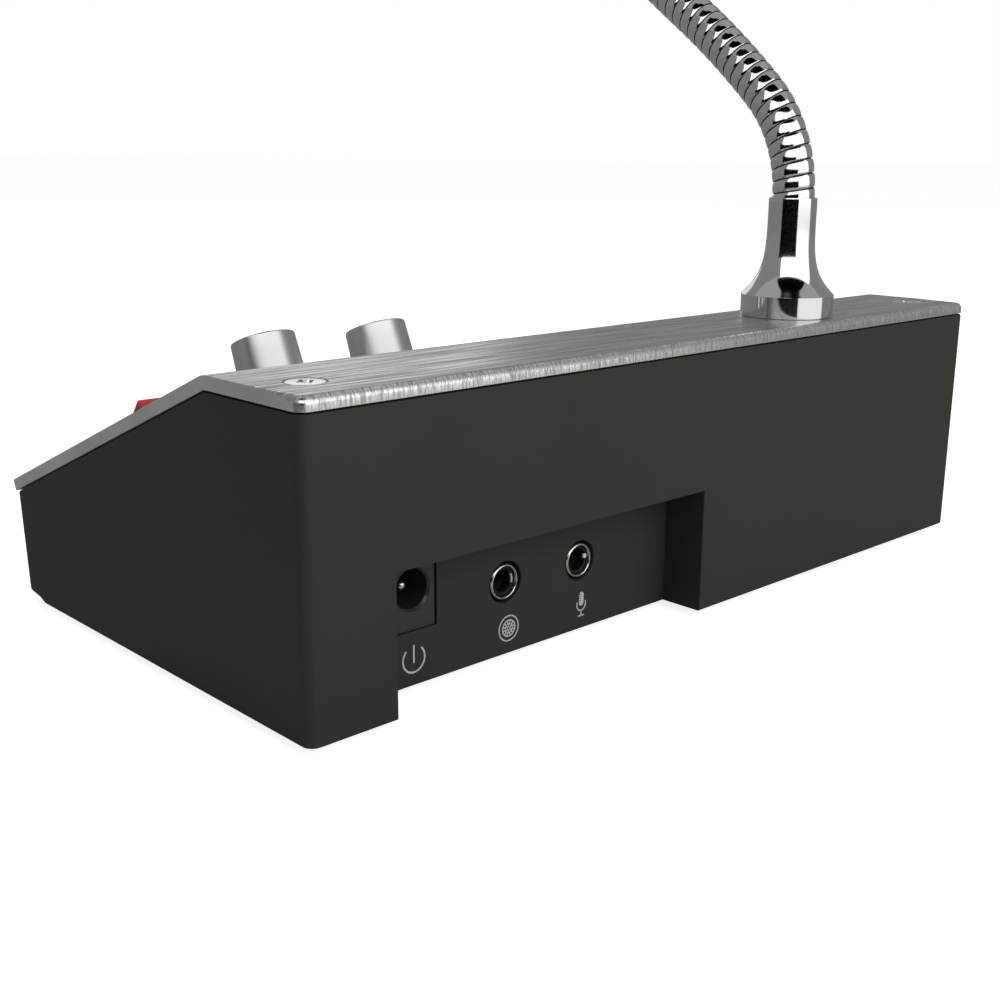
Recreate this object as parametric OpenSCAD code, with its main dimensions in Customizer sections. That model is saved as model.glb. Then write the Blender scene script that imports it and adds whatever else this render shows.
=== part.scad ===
// Teller window intercom: a wedge-shaped counter unit with a gooseneck microphone.
// Lengths are millimetres. +X is the user's right, the user sits at -Y, the sockets
// face +Y, and +Z is up. The origin lies under the middle of the casing, on the
// surface that the feet stand on.

/* [Casing] */
// Width of the casing
body_w = 172; // [172:1:200]
// Depth of the casing at its foot
body_d = 88.8; // [86:0.2:100]
// Height of the rear wall, up to the underside of the face plate
rear_h = 46.8; // [45:0.2:56]
// Height of the front wall, up to the underside of the face plate
front_h = 19.4; // [18:0.2:24]
// Depth of the level strip behind the fold
strip_d = 23.1; // [22:0.1:26]
// How far the front wall leans out at its top
front_lean = 1.4; // [0.4:0.2:3]
// Thickness of the casing's walls
wall_t = 2.5; // [2:0.1:2.7]
// Radius of the casing's upright corners
corner_r = 1.8; // [1:0.2:3]
// Length of the lifted toe under the front edge
toe_l = 6.9; // [4:0.1:10]
// Rise of the lifted toe
toe_rise = 1.4; // [0.6:0.1:2]
// Gap between the walls' top edges and the face plate
shadow_gap = 0.2; // [0.1:0.05:0.4]
// Width of the square columns that take the casing's screws
column_w = 10.2; // [9:0.2:10.4]

/* [Bottom cover and feet] */
// Height of the rubber feet below the casing
foot_h = 1.2; // [0.8:0.1:3]
// Radius of a rubber foot
foot_r = 5; // [4:0.5:7]
// Distance of a foot's centre from the casing's sides
foot_in = 13; // [11:0.5:18]
// Length of the anti-slip strip under the casing's middle
strip_l = 44; // [20:1:80]
// Width of the anti-slip strip
strip_w = 10; // [6:0.5:16]
// Thickness of the bottom cover
cover_t = 2; // [1.6:0.1:2.4]
// How far the bottom cover is set up into the casing
cover_set = 0.3; // [0.1:0.1:0.6]
// Clearance round the bottom cover and other loose fits
fit_gap = 0.15; // [0.1:0.05:0.25]

/* [Face plate] */
// Thickness of the bent aluminium face plate
plate_t = 2.1; // [1.8:0.1:2.6]
// Distance of the plate's screws from the casing's sides
screw_side = 7.7; // [7.2:0.1:8]
// Distance of the rear screws from the rear edge
screw_rear = 9.5; // [9:0.1:10.5]
// Distance of the front screws from the front edge
screw_front = 8; // [7.5:0.1:9]

/* [Rear recess and sockets] */
// Width of the recess that the cords enter
recess_w = 69; // [68.5:0.5:70]
// Height of the recess
recess_h = 22.15; // [21.5:0.05:23.5]
// Depth of the recess
recess_d = 8.4; // [8:0.1:9]
// Distance of the recess from the casing's right side
recess_side = 15.5; // [15.3:0.1:16]
// Distance of the power socket from the casing's right side
power_side = 25.3; // [24:0.1:26.5]
// Distance of the loudspeaker socket from the casing's right side
speaker_jack_side = 44.6; // [43:0.1:46]
// Distance of the microphone socket from the casing's right side
mic_jack_side = 62; // [60:0.1:64]
// Radius of the bore of a round socket
jack_bore_r = 1.8; // [1.78:0.01:1.85]

/* [Knobs] */
// Radius of a knob at its top
knob_r = 5.75; // [5:0.05:6.2]
// How much wider a knob is at its foot
knob_flare = 0.3; // [0:0.05:0.5]
// Height of a knob above the face plate
knob_h = 12.25; // [10:0.05:15]
// Distance of the first knob from the casing's right side
knob_side = 34.2; // [33.5:0.1:36]
// Distance between the knobs
knob_pitch = 25.1; // [24:0.1:26]
// Distance of the knobs below the fold, along the slope
knob_s = 34.4; // [33.5:0.1:36]

/* [Push buttons] */
// Radius of a button cap
button_r = 4.5; // [4:0.1:4.9]
// Height of a button above the face plate
button_h = 3.2; // [2.4:0.1:4]
// Travel of a button
button_travel = 1.2; // [0.8:0.1:1.3]
// Distance of the first button from the casing's right side
button_side = 55; // [54:0.1:56]
// Distance between the buttons
button_pitch = 16.5; // [15.5:0.1:17]
// Distance of the buttons below the fold, along the slope
button_s = 16.6; // [15:0.1:17.5]

/* [Rocker switch] */
// Distance of the rocker switch from the casing's right side
rocker_side = 9.6; // [9.5:0.1:11]
// Distance of the rocker switch below the fold, along the slope
rocker_s = 36.3; // [34:0.1:37.5]
// Length of the switch's frame
rocker_frame_l = 15; // [14.6:0.1:16]
// Width of the switch's frame
rocker_frame_w = 10.5; // [10.4:0.1:11]
// Tilt of the rocker to each side
rocker_tilt = 12; // [9:0.5:13]

/* [Gooseneck] */
// Distance of the neck from the casing's left side
neck_side = 49; // [46:0.5:54]
// Distance of the neck from the casing's rear
neck_rear = 11.8; // [10.6:0.1:12.6]
// Radius of the neck over its ribs
neck_r = 4; // [3.9:0.05:4.1]
// Depth of the grooves between the ribs
neck_groove = 0.45; // [0.2:0.05:0.8]
// Radius of the neck's bore
neck_bore_r = 1.9; // [1.5:0.1:2.4]
// Distance between two ribs
rib_pitch = 2.45; // [2.3:0.05:2.7]
// Length of the neck between its socket and the microphone
neck_free = 208; // [190:1:230]
// Radius of the neck's socket at its foot
socket_r = 8.86; // [8.6:0.02:9.2]
// Height of the neck's socket
socket_h = 22.4; // [20:0.1:26]

/* [Microphone head] */
// Radius of the microphone's housing
head_r = 8; // [7.6:0.1:9]
// Length of the microphone's housing
head_l = 32; // [30:0.5:36]

/* [Loudspeaker] */
// Width of the loudspeaker's square flange
speaker_w = 57; // [55:0.5:57]
// Distance of the loudspeaker from the casing's left side
speaker_side = 43; // [42.8:0.1:43.6]
// Radius of a hole of the grille
grille_hole_r = 1.1; // [0.8:0.05:1.3]
// Distance between the grille's rings of holes
grille_pitch = 4.6; // [4:0.1:5]

/* [Hidden] */

$fn = 48;
// Overrun of every cut past the faces that it opens
over = 0.5;
// Radial clearance of a shaft that turns or slides in its own bearing
run_gap = 0.05;
// Least gap between pieces that move past each other
move_gap = 0.3;

// Places of the casing
right_x = body_w/2;
rear_y = body_d/2;
case_z = foot_h;
plate_z = case_z + rear_h;
fold_y = rear_y - strip_d;
front_y = -rear_y - front_lean;
front_z = case_z + front_h;
slope_angle = atan2(plate_z - front_z, fold_y - front_y);
slope_l = norm([fold_y - front_y, plate_z - front_z]);
inner_x = right_x - wall_t;
cover_z = case_z + cover_set;
cover_top = cover_z + cover_t;
toe_front_share = 0.72;
toe_step_share = 0.5;

// Screws of the casing
screw_r = 1.45;
screw_hole_r = 1.5;
screw_l = 8;
screw_head_r = 2.9;
screw_head_h = 1.5;
cross_w = 0.7;
cross_l = 3;
cross_d = 0.9;
column_d = 12;
screw_x = right_x - screw_side;
rear_screw_y = rear_y - screw_rear;
front_screw_s = slope_l - screw_front;
cover_screw_front_y = -rear_y + screw_front - front_lean;

// Sockets
recess_right = right_x - recess_side;
recess_left = recess_right - recess_w;
recess_y = rear_y - recess_d;
socket_wall_y = recess_y - wall_t;
power_x = right_x - power_side;
speaker_jack_x = right_x - speaker_jack_side;
mic_jack_x = right_x - mic_jack_side;
power_w = 9;
power_h = 11;
power_l = 14.2;
power_bore_r = 3.15;
power_bore_l = 9.5;
power_pin_r = 1;
power_pin_l = 7.4;
power_axis_h = 6.6;
jack_w = 9;
jack_l = 12;
jack_h = 7;
jack_axis_h = 3.5;
jack_ring_r = 3;
jack_hole_r = 3.5;
jack_mouth = 0.5;
jack_set = 0.2;

// Boards
board_t = 1.6;
board_rise = 8.77;
board_top = case_z + board_rise;
board_margin = 12;
board_front_y = -13;
post_r = 3;
post_rear_in = 16;
board_screw_l = 5;
pan_r = 2.7;
pan_h = 1.6;
pot_w = 9.7;
pot_l = 11;
pot_h = 6.8;
pot_bush_r = 3.45;
shaft_r = 3;
shaft_tail = 4.6;
rotor_r = 4;
rotor_h = 1.2;
control_z = -pot_h;
control_edge = 11;

// Knobs and buttons
knob_x = [right_x - knob_side, right_x - knob_side - knob_pitch];
knob_lift = 0.6;
knob_crown = 1.6;
knob_mark_w = 0.8;
knob_mark_d = 0.4;
knob_mark_share = 0.55;
button_x = [for (i = [0:2]) right_x - button_side - button_pitch*i];
button_dome = 0.9;
button_flange = 0.9;
button_flange_t = 1.3;
stem_r = 1.5;
switch_w = 8.5;
button_under = move_gap + button_flange_t;
switch_h = pot_h - button_under - button_travel - move_gap;
stem_l = switch_h - move_gap;

// Rocker switch
rocker_x = right_x - rocker_side;
rocker_lip = 1.6;
rocker_body_l = 13.3;
rocker_body_w = 8.8;
rocker_body_h = 10;
rocker_open_l = 13;
rocker_open_w = 7;
rocker_well = 7;
pivot_drop = 0.36;
rocker_pivot = plate_t - pivot_drop;
rocker_half = 5.4;
rocker_foot_half = 5.8;
rocker_top = 3.1;
rocker_valley = 1.75;
rocker_under = 1.4;
rocker_keel = 3.6;
rocker_pin_r = 0.9;
rocker_pin_l = 0.55;
tag_w = 4.8;
tag_t = 0.8;
tag_l = 6;
tag_pitch = 7.2;

// Loudspeaker
speaker_x = -right_x + speaker_side;
speaker_s = slope_l/2;
stud_r = 1.5;
stud_l = 6;
stud_share = 0.8;
stud_place = speaker_w/2*stud_share;
gasket_t = 1;
flange_t = 1.2;
flange_in = 3.5;
basket_r = speaker_w/2 - flange_in;
basket_back_r = 14;
basket_h = 10;
basket_wall = 1;
speaker_tag_w = 3;
speaker_tag_l = 10;
speaker_tag_t = 1.6;
magnet_r = 16;
magnet_h = 8;
yoke_t = 1.6;
cone_r = basket_r - run_gap;
cone_t = 0.6;
coil_r = 7;
coil_depth_share = 0.75;
dome_share = 0.4;
nut_r = 3.1;
nut_h = 2.4;
grille_rings = 4;

// Neck: where it stands and how it leans, as lengths along it and degrees
neck_x = -right_x + neck_side;
neck_y = rear_y - neck_rear;
strip_top = plate_z + plate_t;
neck_in = 10;
first_bend_l = 22;
second_bend_l = 24;
first_lean = 46;
second_lean = 54;
last_lean = 34;
neck_l = neck_in + neck_free + neck_in;
lean_keys = [[0, 0], [neck_in, 0], [neck_in + first_bend_l, first_lean],
    [neck_in + first_bend_l + second_bend_l, second_lean],
    [neck_in + neck_free, last_lean], [neck_l, last_lean]];
neck_steps = ceil(neck_l/(rib_pitch/2));
neck_step = neck_l/neck_steps;
hinge_count = 6;
hinge_swing = 20;
hinge_gap = 0.15;
ring_sides = 8;
bore_every = 8;
function lean(u) = lookup(u, lean_keys);
function along(u) = [-sin(lean(u)), cos(lean(u))];
neck_line = [for (i = 0, p = [neck_y, strip_top + socket_h - neck_in]; i <= neck_steps;
    p = p + neck_step*along((i + 0.5)*neck_step), i = i + 1) p];
function neck_place(u) = let (i = min(floor(u/neck_step), neck_steps - 1))
    neck_line[i] + (u - i*neck_step)*along((i + 0.5)*neck_step);
hinge_u = [for (i = [0:hinge_count - 1]) neck_in + neck_free*(i + 0.5)/hinge_count];
function hinge_cut(r) = r*tan(hinge_swing/2) + hinge_gap;

// Socket of the neck
socket_flange = 4.26;
socket_rim = 0.55;
socket_top_r = neck_r + socket_rim;
socket_power = 5;
socket_bands = 10;
shank_r = 5;
shank_l = 12;
shank_bore_r = 1.95;
socket_nut_r = 8.1;
socket_nut_h = 3;
socket_chamfer = 0.25;

// Microphone head, measured from the neck's end along its axis
ferrule_r = 5.2;
ferrule_nose = 3;
head_wall = 1.2;
head_bore_r = head_r - head_wall;
slot_count = 8;
slot_w = 1.6;
slot_l = 12;
slot_back = 4;
mesh_t = 0.3;
mesh_back = 3;
cap_t = 2.4;
cap_chamfer = 0.8;
cap_hole_r = 0.6;
cap_pitch = 1.9;
cap_rings = 3;
capsule_r = 4.85;
capsule_l = 6.7;
holder_l = 8;
head_place = concat([neck_x], neck_line[neck_steps]);

// Things on the boards
sink_w = 24;
sink_d = 9;
sink_h = 14;
sink_fins = 6;
sink_fin_share = 0.45;
sink_back = 3;
chip_w = 19;
chip_d = 4;
chip_h = 11;
capacitor_r = 4;
capacitor_h = 11.5;
capacitor_pitch = 12;
capacitor_gap = 5;
capacitor_crimp = 0.35;
connector_w = 7.5;
connector_d = 6;
connector_h = 6;
connector_pitch_share = 0.172;
connector_slot = 1;
led_r = 1.5;
led_rise = 1;
led_rim = 0.3;
led_s = 14;
bar_d = 9.5;
bar_h = 6;
bar_in = 18;
bar_gap = 0.5;

// Routes of the leads inside the casing, hand-set points
lead_r = 1.1;
mic_lead_r = 1.6;
lead_sides = 8;
lead_side_way = [0.31, 0.2, 0.93];
speaker_route = [[-16, -10.5, 29.2], [-15.5, -11, 26], [-13, -12.5, 22], [-6, -15, 19.5],
    [4, -16.5, 18.5], [16, -17, 18.5], [28, -16.8, 19], [36, -14.5, 19.5], [40, -11.5, 18.5],
    [41, -10, 16.5], [41, -10, 13.5]];
switch_route = [[76.4, -9.8, 17.7], [75.9, -10.7, 14.9], [73, -12, 13.2], [68, -14, 13],
    [62, -16.5, 14], [57.5, -15.5, 17.2], [55.6, -12.5, 18.6], [55, -10, 16.5], [55, -10, 13.5]];
mic_route = concat([[neck_x, neck_y, 44], [neck_x, neck_y, 38]],
    [[-36.5, 31.8, 33], [-34, 29.8, 29.5], [-27, 26, 27.5], [-15, 21, 26.5], [-4, 16, 26],
    [6, 12.5, 25], [14, 9.5, 22.5], [20, 6, 19.5], [22, 1, 18], [22.2, -4, 18],
    [23.5, -8, 18.8], [26, -10, 18.2], [27, -10, 16], [27, -10, 13.5]]);

// Colours
casing_colour = [0.2, 0.2, 0.17];
plate_colour = [0.72, 0.73, 0.72];
chrome_colour = [0.86, 0.87, 0.88];
black_colour = [0.06, 0.06, 0.06];
steel_colour = [0.6, 0.6, 0.62];
board_colour = [0.1, 0.35, 0.2];

echo(slope_angle = slope_angle, slope_l = slope_l, neck_end = head_place);
echo(hinges = [for (u = hinge_u) [u, neck_place(u), lean(u)]]);

// A prism across the casing, w wide, whose side view is the outline
module side_prism(outline, w) {
    rotate([90, 0, 90]) linear_extrude(w, center = true) polygon(outline);
}

// Puts children on the underside of the sloping plate, with +Z out through the plate
module on_slope(x, s, h = 0) {
    translate([x, fold_y, plate_z]) rotate([slope_angle, 0, 0]) translate([0, -s, h]) children();
}

// Puts children at the distance x to both sides of the casing's middle
module both_sides(x) {
    for (side = [-1, 1]) translate([side*x, 0, 0]) children();
}

// A box that is centred in X and Y and stands on its foot
module block(w, d, h) {
    translate([-w/2, -d/2, 0]) cube([w, d, h]);
}

// The casing's plan with rounded upright corners
module plan_prism() {
    w = body_w/2 - corner_r;
    d = rear_y - corner_r;
    translate([0, 0, -over]) linear_extrude(strip_top + 2*over) union() {
        translate([-w, front_y - over]) square([2*w, rear_y - front_y + over]);
        translate([-body_w/2, front_y + corner_r]) square([body_w, d - front_y - corner_r]);
        for (x = [-w, w], y = [front_y + corner_r, d]) translate([x, y]) circle(corner_r);
    }
}

function case_outline(gap) = [
    [rear_y, case_z], [rear_y, plate_z - gap], [fold_y, plate_z - gap],
    [front_y, front_z - gap], [-rear_y, case_z + toe_rise],
    [-rear_y + toe_l*toe_front_share, case_z + toe_rise*toe_step_share],
    [-rear_y + toe_l, case_z]
];

function cavity_outline() = [
    [rear_y - wall_t, -over], [rear_y - wall_t, strip_top + over],
    [front_y + wall_t, strip_top + over], [front_y + wall_t, front_z],
    [-rear_y + wall_t, case_z + toe_rise], [-rear_y + wall_t, -over]
];

function plate_outline() = let (t = plate_t) [
    [rear_y, plate_z], [rear_y, plate_z + t],
    [fold_y - t*tan(slope_angle/2), plate_z + t],
    [front_y - t*sin(slope_angle), front_z + t*cos(slope_angle)],
    [front_y, front_z], [fold_y, plate_z]
];

// The crossed slots of a screw's head
module cross_cut() {
    for (a = [0, 90]) rotate([0, 0, a]) block(cross_l, cross_w, cross_d + over);
}

// A countersunk screw whose head's face lies at the origin and whose shank runs down
module countersunk_screw(length) {
    difference() {
        union() {
            translate([0, 0, -screw_head_h]) cylinder(screw_head_h, screw_r, screw_head_r);
            translate([0, 0, -length]) cylinder(length, screw_r, screw_r);
        }
        translate([0, 0, -cross_d]) cross_cut();
    }
}

// The hole that such a screw needs
module countersunk_hole(length) {
    g = fit_gap/2;
    translate([0, 0, -screw_head_h - g]) cylinder(screw_head_h + g, screw_hole_r, screw_head_r + g);
    cylinder(over, screw_head_r + g, screw_head_r + g);
    translate([0, 0, -length - over]) cylinder(length + over, screw_hole_r, screw_hole_r);
}

// Puts children at each plate screw, with +Z out of the plate
module at_plate_screws() {
    both_sides(screw_x) {
        translate([0, rear_screw_y, strip_top]) children();
        on_slope(0, front_screw_s, plate_t) children();
    }
}

// Puts children at each cover screw, with +Z down out of the cover
module at_cover_screws() {
    both_sides(screw_x) for (y = [rear_screw_y, cover_screw_front_y]) {
        translate([0, y, cover_z]) rotate([180, 0, 0]) children();
    }
}

module columns() {
    for (side = [-1, 1]) {
        x = side*(inner_x - column_w/2 + over/2);
        translate([x, rear_y - wall_t - column_d/2 + over/2, cover_top]) {
            block(column_w + over, column_d + over, strip_top);
        }
        translate([x, front_y + wall_t + column_d/2 - over/2, cover_top]) {
            block(column_w + over, column_d + over, strip_top);
        }
    }
}

module body_shell() {
    color(casing_colour) difference() {
        union() {
            difference() {
                intersection() {
                    side_prism(case_outline(shadow_gap), body_w);
                    plan_prism();
                }
                side_prism(cavity_outline(), 2*inner_x);
            }
            intersection() {
                side_prism(case_outline(0), body_w - wall_t);
                columns();
            }
            translate([recess_left - wall_t, socket_wall_y, case_z]) {
                cube([recess_w + 2*wall_t, recess_d + wall_t - over, recess_h + wall_t]);
            }
        }
        translate([recess_left, recess_y, -over]) {
            cube([recess_w, recess_d + over, case_z + recess_h + over]);
        }
        translate([power_x - power_w/2 - fit_gap, socket_wall_y - over, board_top]) {
            cube([power_w + 2*fit_gap, wall_t + 2*over, power_h + fit_gap]);
        }
        for (x = [speaker_jack_x, mic_jack_x]) {
            translate([x, recess_y + over, board_top + jack_axis_h]) rotate([90, 0, 0]) {
                cylinder(wall_t + 2*over, jack_hole_r, jack_hole_r);
            }
        }
        at_plate_screws() countersunk_hole(screw_l + plate_t);
        at_cover_screws() countersunk_hole(screw_l);
    }
}

module board_posts() {
    for (p = board_post_places()) translate([p[0], p[1], cover_top]) {
        cylinder(board_top - board_t - cover_top, post_r, post_r);
    }
}

function board_left() = recess_left - board_margin;
function board_rear() = socket_wall_y - fit_gap;
function board_post_places() = let (in = post_r + fit_gap) [
    for (x = [board_left() + in, recess_right - in])
        for (y = [board_front_y + in, board_rear() - post_rear_in]) [x, y]];

module bottom_cover() {
    w = 2*(inner_x - fit_gap);
    front = -rear_y + wall_t + fit_gap;
    color(casing_colour) difference() {
        union() {
            translate([-w/2, front, cover_z]) cube([w, rear_y - wall_t - fit_gap - front, cover_t]);
            board_posts();
        }
        translate([recess_left - wall_t - fit_gap, socket_wall_y - fit_gap, case_z - over]) {
            cube([recess_w + 2*(wall_t + fit_gap), recess_d + wall_t, cover_t + 2*over]);
        }
        at_cover_screws() countersunk_hole(screw_l);
        for (p = board_post_places()) translate([p[0], p[1], cover_top]) {
            cylinder(board_top, screw_hole_r, screw_hole_r);
        }
    }
}

module cover_screws() {
    color(steel_colour) at_cover_screws() countersunk_screw(screw_l);
}

module rubber_feet() {
    color(black_colour) both_sides(right_x - foot_in) for (side = [-1, 1]) {
        translate([0, side*(rear_y - foot_in - recess_d*(side + 1)/2), 0]) cylinder(cover_z, foot_r, foot_r);
    }
    color(black_colour) block(strip_l, strip_w, cover_z);
}

// Puts children at the loudspeaker's four corners, under the plate
module at_speaker_corners() {
    for (x = [-1, 1], y = [-1, 1]) {
        on_slope(speaker_x + x*stud_place, speaker_s + y*stud_place) children();
    }
}

// Puts children at the control board's four corners, under the plate
module at_control_corners() {
    in = post_r + fit_gap;
    for (x = [control_left() + in, control_right() - in], s = [control_rear() + in, control_front() - in]) {
        on_slope(x, s) children();
    }
}

function control_left() = button_x[2] - control_edge;
function control_right() = knob_x[0] + control_edge + post_r;
function control_rear() = button_s - control_edge;
function control_front() = knob_s + control_edge;

module grille() {
    cut = plate_t + 2*over;
    on_slope(speaker_x, speaker_s, -over) {
        cylinder(cut, grille_hole_r, grille_hole_r, $fn = 20);
        for (ring = [1:grille_rings], i = [0:6*ring - 1]) {
            rotate([0, 0, i*60/ring]) translate([ring*grille_pitch, 0, 0]) {
                cylinder(cut, grille_hole_r, grille_hole_r, $fn = 20);
            }
        }
    }
}

module faceplate() {
    cut = plate_t + 2*over;
    color(plate_colour) difference() {
        union() {
            intersection() {
                side_prism(plate_outline(), body_w);
                plate_plan();
            }
            at_speaker_corners() translate([0, 0, -stud_l]) cylinder(stud_l + over, stud_r, stud_r);
            at_control_corners() translate([0, 0, control_z]) cylinder(pot_h + over, post_r, post_r);
        }
        grille();
        for (x = knob_x) on_slope(x, knob_s, -over) {
            cylinder(cut, pot_bush_r + fit_gap/2, pot_bush_r + fit_gap/2);
        }
        for (x = button_x) on_slope(x, button_s, -over) {
            cylinder(cut, button_r + move_gap, button_r + move_gap);
        }
        on_slope(rocker_x, rocker_s, -over) block(rocker_body_w + fit_gap, rocker_body_l + fit_gap, cut);
        on_slope(rocker_x, led_s, -over) cylinder(cut, led_r + run_gap, led_r + run_gap);
        at_plate_screws() countersunk_hole(plate_t);
        translate([neck_x, neck_y, plate_z - over]) cylinder(cut, shank_r + fit_gap/2, shank_r + fit_gap/2);
        at_control_corners() translate([0, 0, control_z - over]) {
            cylinder(board_screw_l + over, screw_hole_r, screw_hole_r);
        }
    }
}

// The face plate's plan, whose corners are those of the casing
module plate_plan() {
    w = body_w/2 - corner_r;
    front = front_y - plate_t;
    translate([0, 0, -over]) linear_extrude(strip_top + 2*over) union() {
        translate([-w, front]) square([2*w, rear_y - front]);
        translate([-body_w/2, front]) square([body_w, rear_y - front - corner_r]);
        for (x = [-w, w]) translate([x, rear_y - corner_r]) circle(corner_r);
    }
}

module plate_screws() {
    color(steel_colour) at_plate_screws() countersunk_screw(screw_l);
}

// Puts children on the loudspeaker's axis, with -Z into the casing
module at_speaker() {
    on_slope(speaker_x, speaker_s, -gasket_t) children();
}

module speaker_gasket() {
    color(black_colour) difference() {
        on_slope(speaker_x, speaker_s, -gasket_t) block(speaker_w, speaker_w, gasket_t);
        on_slope(speaker_x, speaker_s, -gasket_t - over) {
            cylinder(gasket_t + 2*over, basket_r, basket_r, $fn = 72);
        }
        at_speaker_corners() translate([0, 0, -stud_l]) {
            cylinder(stud_l + over, stud_r + fit_gap, stud_r + fit_gap);
        }
    }
}

module speaker_basket() {
    h = basket_h + flange_t;
    color(steel_colour) difference() {
        union() {
            at_speaker() translate([0, 0, -flange_t]) block(speaker_w, speaker_w, flange_t);
            at_speaker() translate([0, 0, -h]) {
                cylinder(basket_h, basket_back_r, basket_r + basket_wall, $fn = 72);
            }
            at_speaker() translate([0, 0, -h - basket_wall]) {
                cylinder(basket_wall, basket_back_r, basket_back_r);
            }
            at_speaker() translate([speaker_w/2 - speaker_tag_w/2, 0, -flange_t - speaker_tag_t]) {
                block(speaker_tag_w, speaker_tag_l, speaker_tag_t + run_gap);
            }
        }
        at_speaker() translate([0, 0, -flange_t - over]) {
            cylinder(flange_t + 2*over, basket_r, basket_r, $fn = 72);
        }
        at_speaker() translate([0, 0, -h]) {
            cylinder(basket_h + run_gap, basket_back_r - basket_wall, basket_r, $fn = 72);
        }
        at_speaker() translate([0, 0, -h - basket_wall - over]) {
            cylinder(basket_wall + 2*over, coil_r + fit_gap, coil_r + fit_gap);
        }
        for (a = [45:90:315]) at_speaker() rotate([0, 0, a]) {
            translate([basket_back_r + basket_wall, 0, -h + basket_wall]) {
                translate([0, -basket_back_r/2, 0]) cube([basket_r, basket_back_r, basket_h/2]);
            }
        }
        at_speaker_corners() translate([0, 0, -stud_l]) {
            cylinder(stud_l + over, stud_r + fit_gap, stud_r + fit_gap);
        }
    }
}

module speaker_magnet() {
    back = basket_h + flange_t + basket_wall;
    yoke_r = magnet_r - basket_wall;
    color(black_colour) at_speaker() difference() {
        union() {
            translate([0, 0, -back - magnet_h]) cylinder(magnet_h - yoke_t, magnet_r, magnet_r);
            for (z = [back, back + magnet_h]) {
                translate([0, 0, -z - yoke_t]) cylinder(yoke_t, yoke_r, yoke_r);
            }
        }
        translate([0, 0, -back - yoke_t]) difference() {
            cylinder(yoke_t + over, coil_r + fit_gap, coil_r + fit_gap);
            translate([0, 0, -over]) cylinder(yoke_t + 2*over, coil_r - 2*fit_gap, coil_r - 2*fit_gap);
        }
    }
}

module speaker_cone() {
    top = -flange_t/2;
    low = -basket_h*coil_depth_share;
    color([0.13, 0.13, 0.14]) at_speaker() rotate_extrude($fn = 72) polygon([
        [cone_r, top], [cone_r, top + cone_t], [cone_r - 2*cone_t, top + 2*cone_t],
        [cone_r - 4*cone_t, top + cone_t], [coil_r, low + cone_t], [coil_r - cone_t/2, low + cone_t],
        [coil_r - cone_t/2, low - cone_t], [coil_r, low - cone_t], [coil_r, low],
        [cone_r - 4*cone_t, top], [cone_r - 2*cone_t, top + cone_t]
    ]);
}

module speaker_dust_cap() {
    low = -basket_h*coil_depth_share + 3*cone_t/2;
    rise = coil_r*dome_share;
    ball = (coil_r*coil_r + rise*rise)/(2*rise);
    edge = asin(coil_r/ball);
    color([0.1, 0.1, 0.11]) at_speaker() translate([0, 0, low + rise - ball]) {
        rotate_extrude($fn = 48) polygon(concat(
            [for (i = [0:6]) ball*[sin(edge*i/6), cos(edge*i/6)]],
            [for (i = [6:-1:0]) (ball - cone_t/2)*[sin(edge*i/6), cos(edge*i/6)]]));
    }
}

module speaker_nuts() {
    color(steel_colour) at_speaker_corners() translate([0, 0, -gasket_t - flange_t - nut_h]) difference() {
        cylinder(nut_h, nut_r, nut_r, $fn = 6);
        translate([0, 0, -over]) cylinder(nut_h + 2*over, stud_r + run_gap, stud_r + run_gap);
    }
}

module main_board() {
    color(board_colour) difference() {
        translate([board_left(), board_front_y, board_top - board_t]) {
            cube([recess_right - board_left(), board_rear() - board_front_y, board_t]);
        }
        for (p = board_post_places()) translate([p[0], p[1], board_top - board_t - over]) {
            cylinder(board_t + 2*over, screw_hole_r, screw_hole_r);
        }
    }
}

// A pan-head screw whose head rests at the origin and whose shank runs down
module pan_screw() {
    difference() {
        union() {
            cylinder(pan_h, pan_r, pan_r - pan_h/4);
            translate([0, 0, -board_screw_l]) cylinder(board_screw_l, screw_r, screw_r);
        }
        translate([0, 0, pan_h - cross_d]) cross_cut();
    }
}

module board_screws() {
    color(steel_colour) {
        for (p = board_post_places()) translate([p[0], p[1], board_top]) pan_screw();
        at_control_corners() translate([0, 0, control_z - board_t]) rotate([180, 0, 0]) pan_screw();
    }
}

// Puts children at a socket's mouth in the recess, with +Z out of it
module at_socket(x, h) {
    translate([x, recess_y - jack_set, board_top + h]) rotate([-90, 0, 0]) children();
}

module power_jack() {
    color(black_colour) difference() {
        translate([power_x - power_w/2, recess_y - jack_set - power_l, board_top]) {
            cube([power_w, power_l, power_h]);
        }
        at_socket(power_x, power_axis_h) translate([0, 0, -power_bore_l]) {
            cylinder(power_bore_l + over, power_bore_r, power_bore_r);
        }
        at_socket(power_x, power_axis_h) translate([0, 0, -power_l - over]) {
            cylinder(power_l, power_pin_r, power_pin_r);
        }
    }
}

module power_jack_pin() {
    tip = -power_bore_l + power_pin_l - power_pin_r;
    color(chrome_colour) at_socket(power_x, power_axis_h) {
        translate([0, 0, -power_l]) cylinder(power_l + tip, power_pin_r, power_pin_r);
        translate([0, 0, tip]) sphere(power_pin_r);
    }
}

module jack_body(x) {
    color(black_colour) difference() {
        translate([x - jack_w/2, socket_wall_y - fit_gap - jack_l, board_top]) {
            cube([jack_w, jack_l, jack_h]);
        }
        at_socket(x, jack_axis_h) translate([0, 0, -jack_l]) {
            cylinder(jack_l + over, jack_bore_r, jack_bore_r);
        }
    }
}

module jack_ring(x) {
    l = wall_t + fit_gap - jack_set;
    color(chrome_colour) at_socket(x, jack_axis_h) difference() {
        translate([0, 0, -l]) cylinder(l, jack_ring_r, jack_ring_r);
        translate([0, 0, -l - over]) cylinder(l + 2*over, jack_bore_r, jack_bore_r);
        translate([0, 0, -jack_mouth]) cylinder(jack_mouth + run_gap, jack_bore_r, jack_bore_r + jack_mouth);
    }
}

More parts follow.
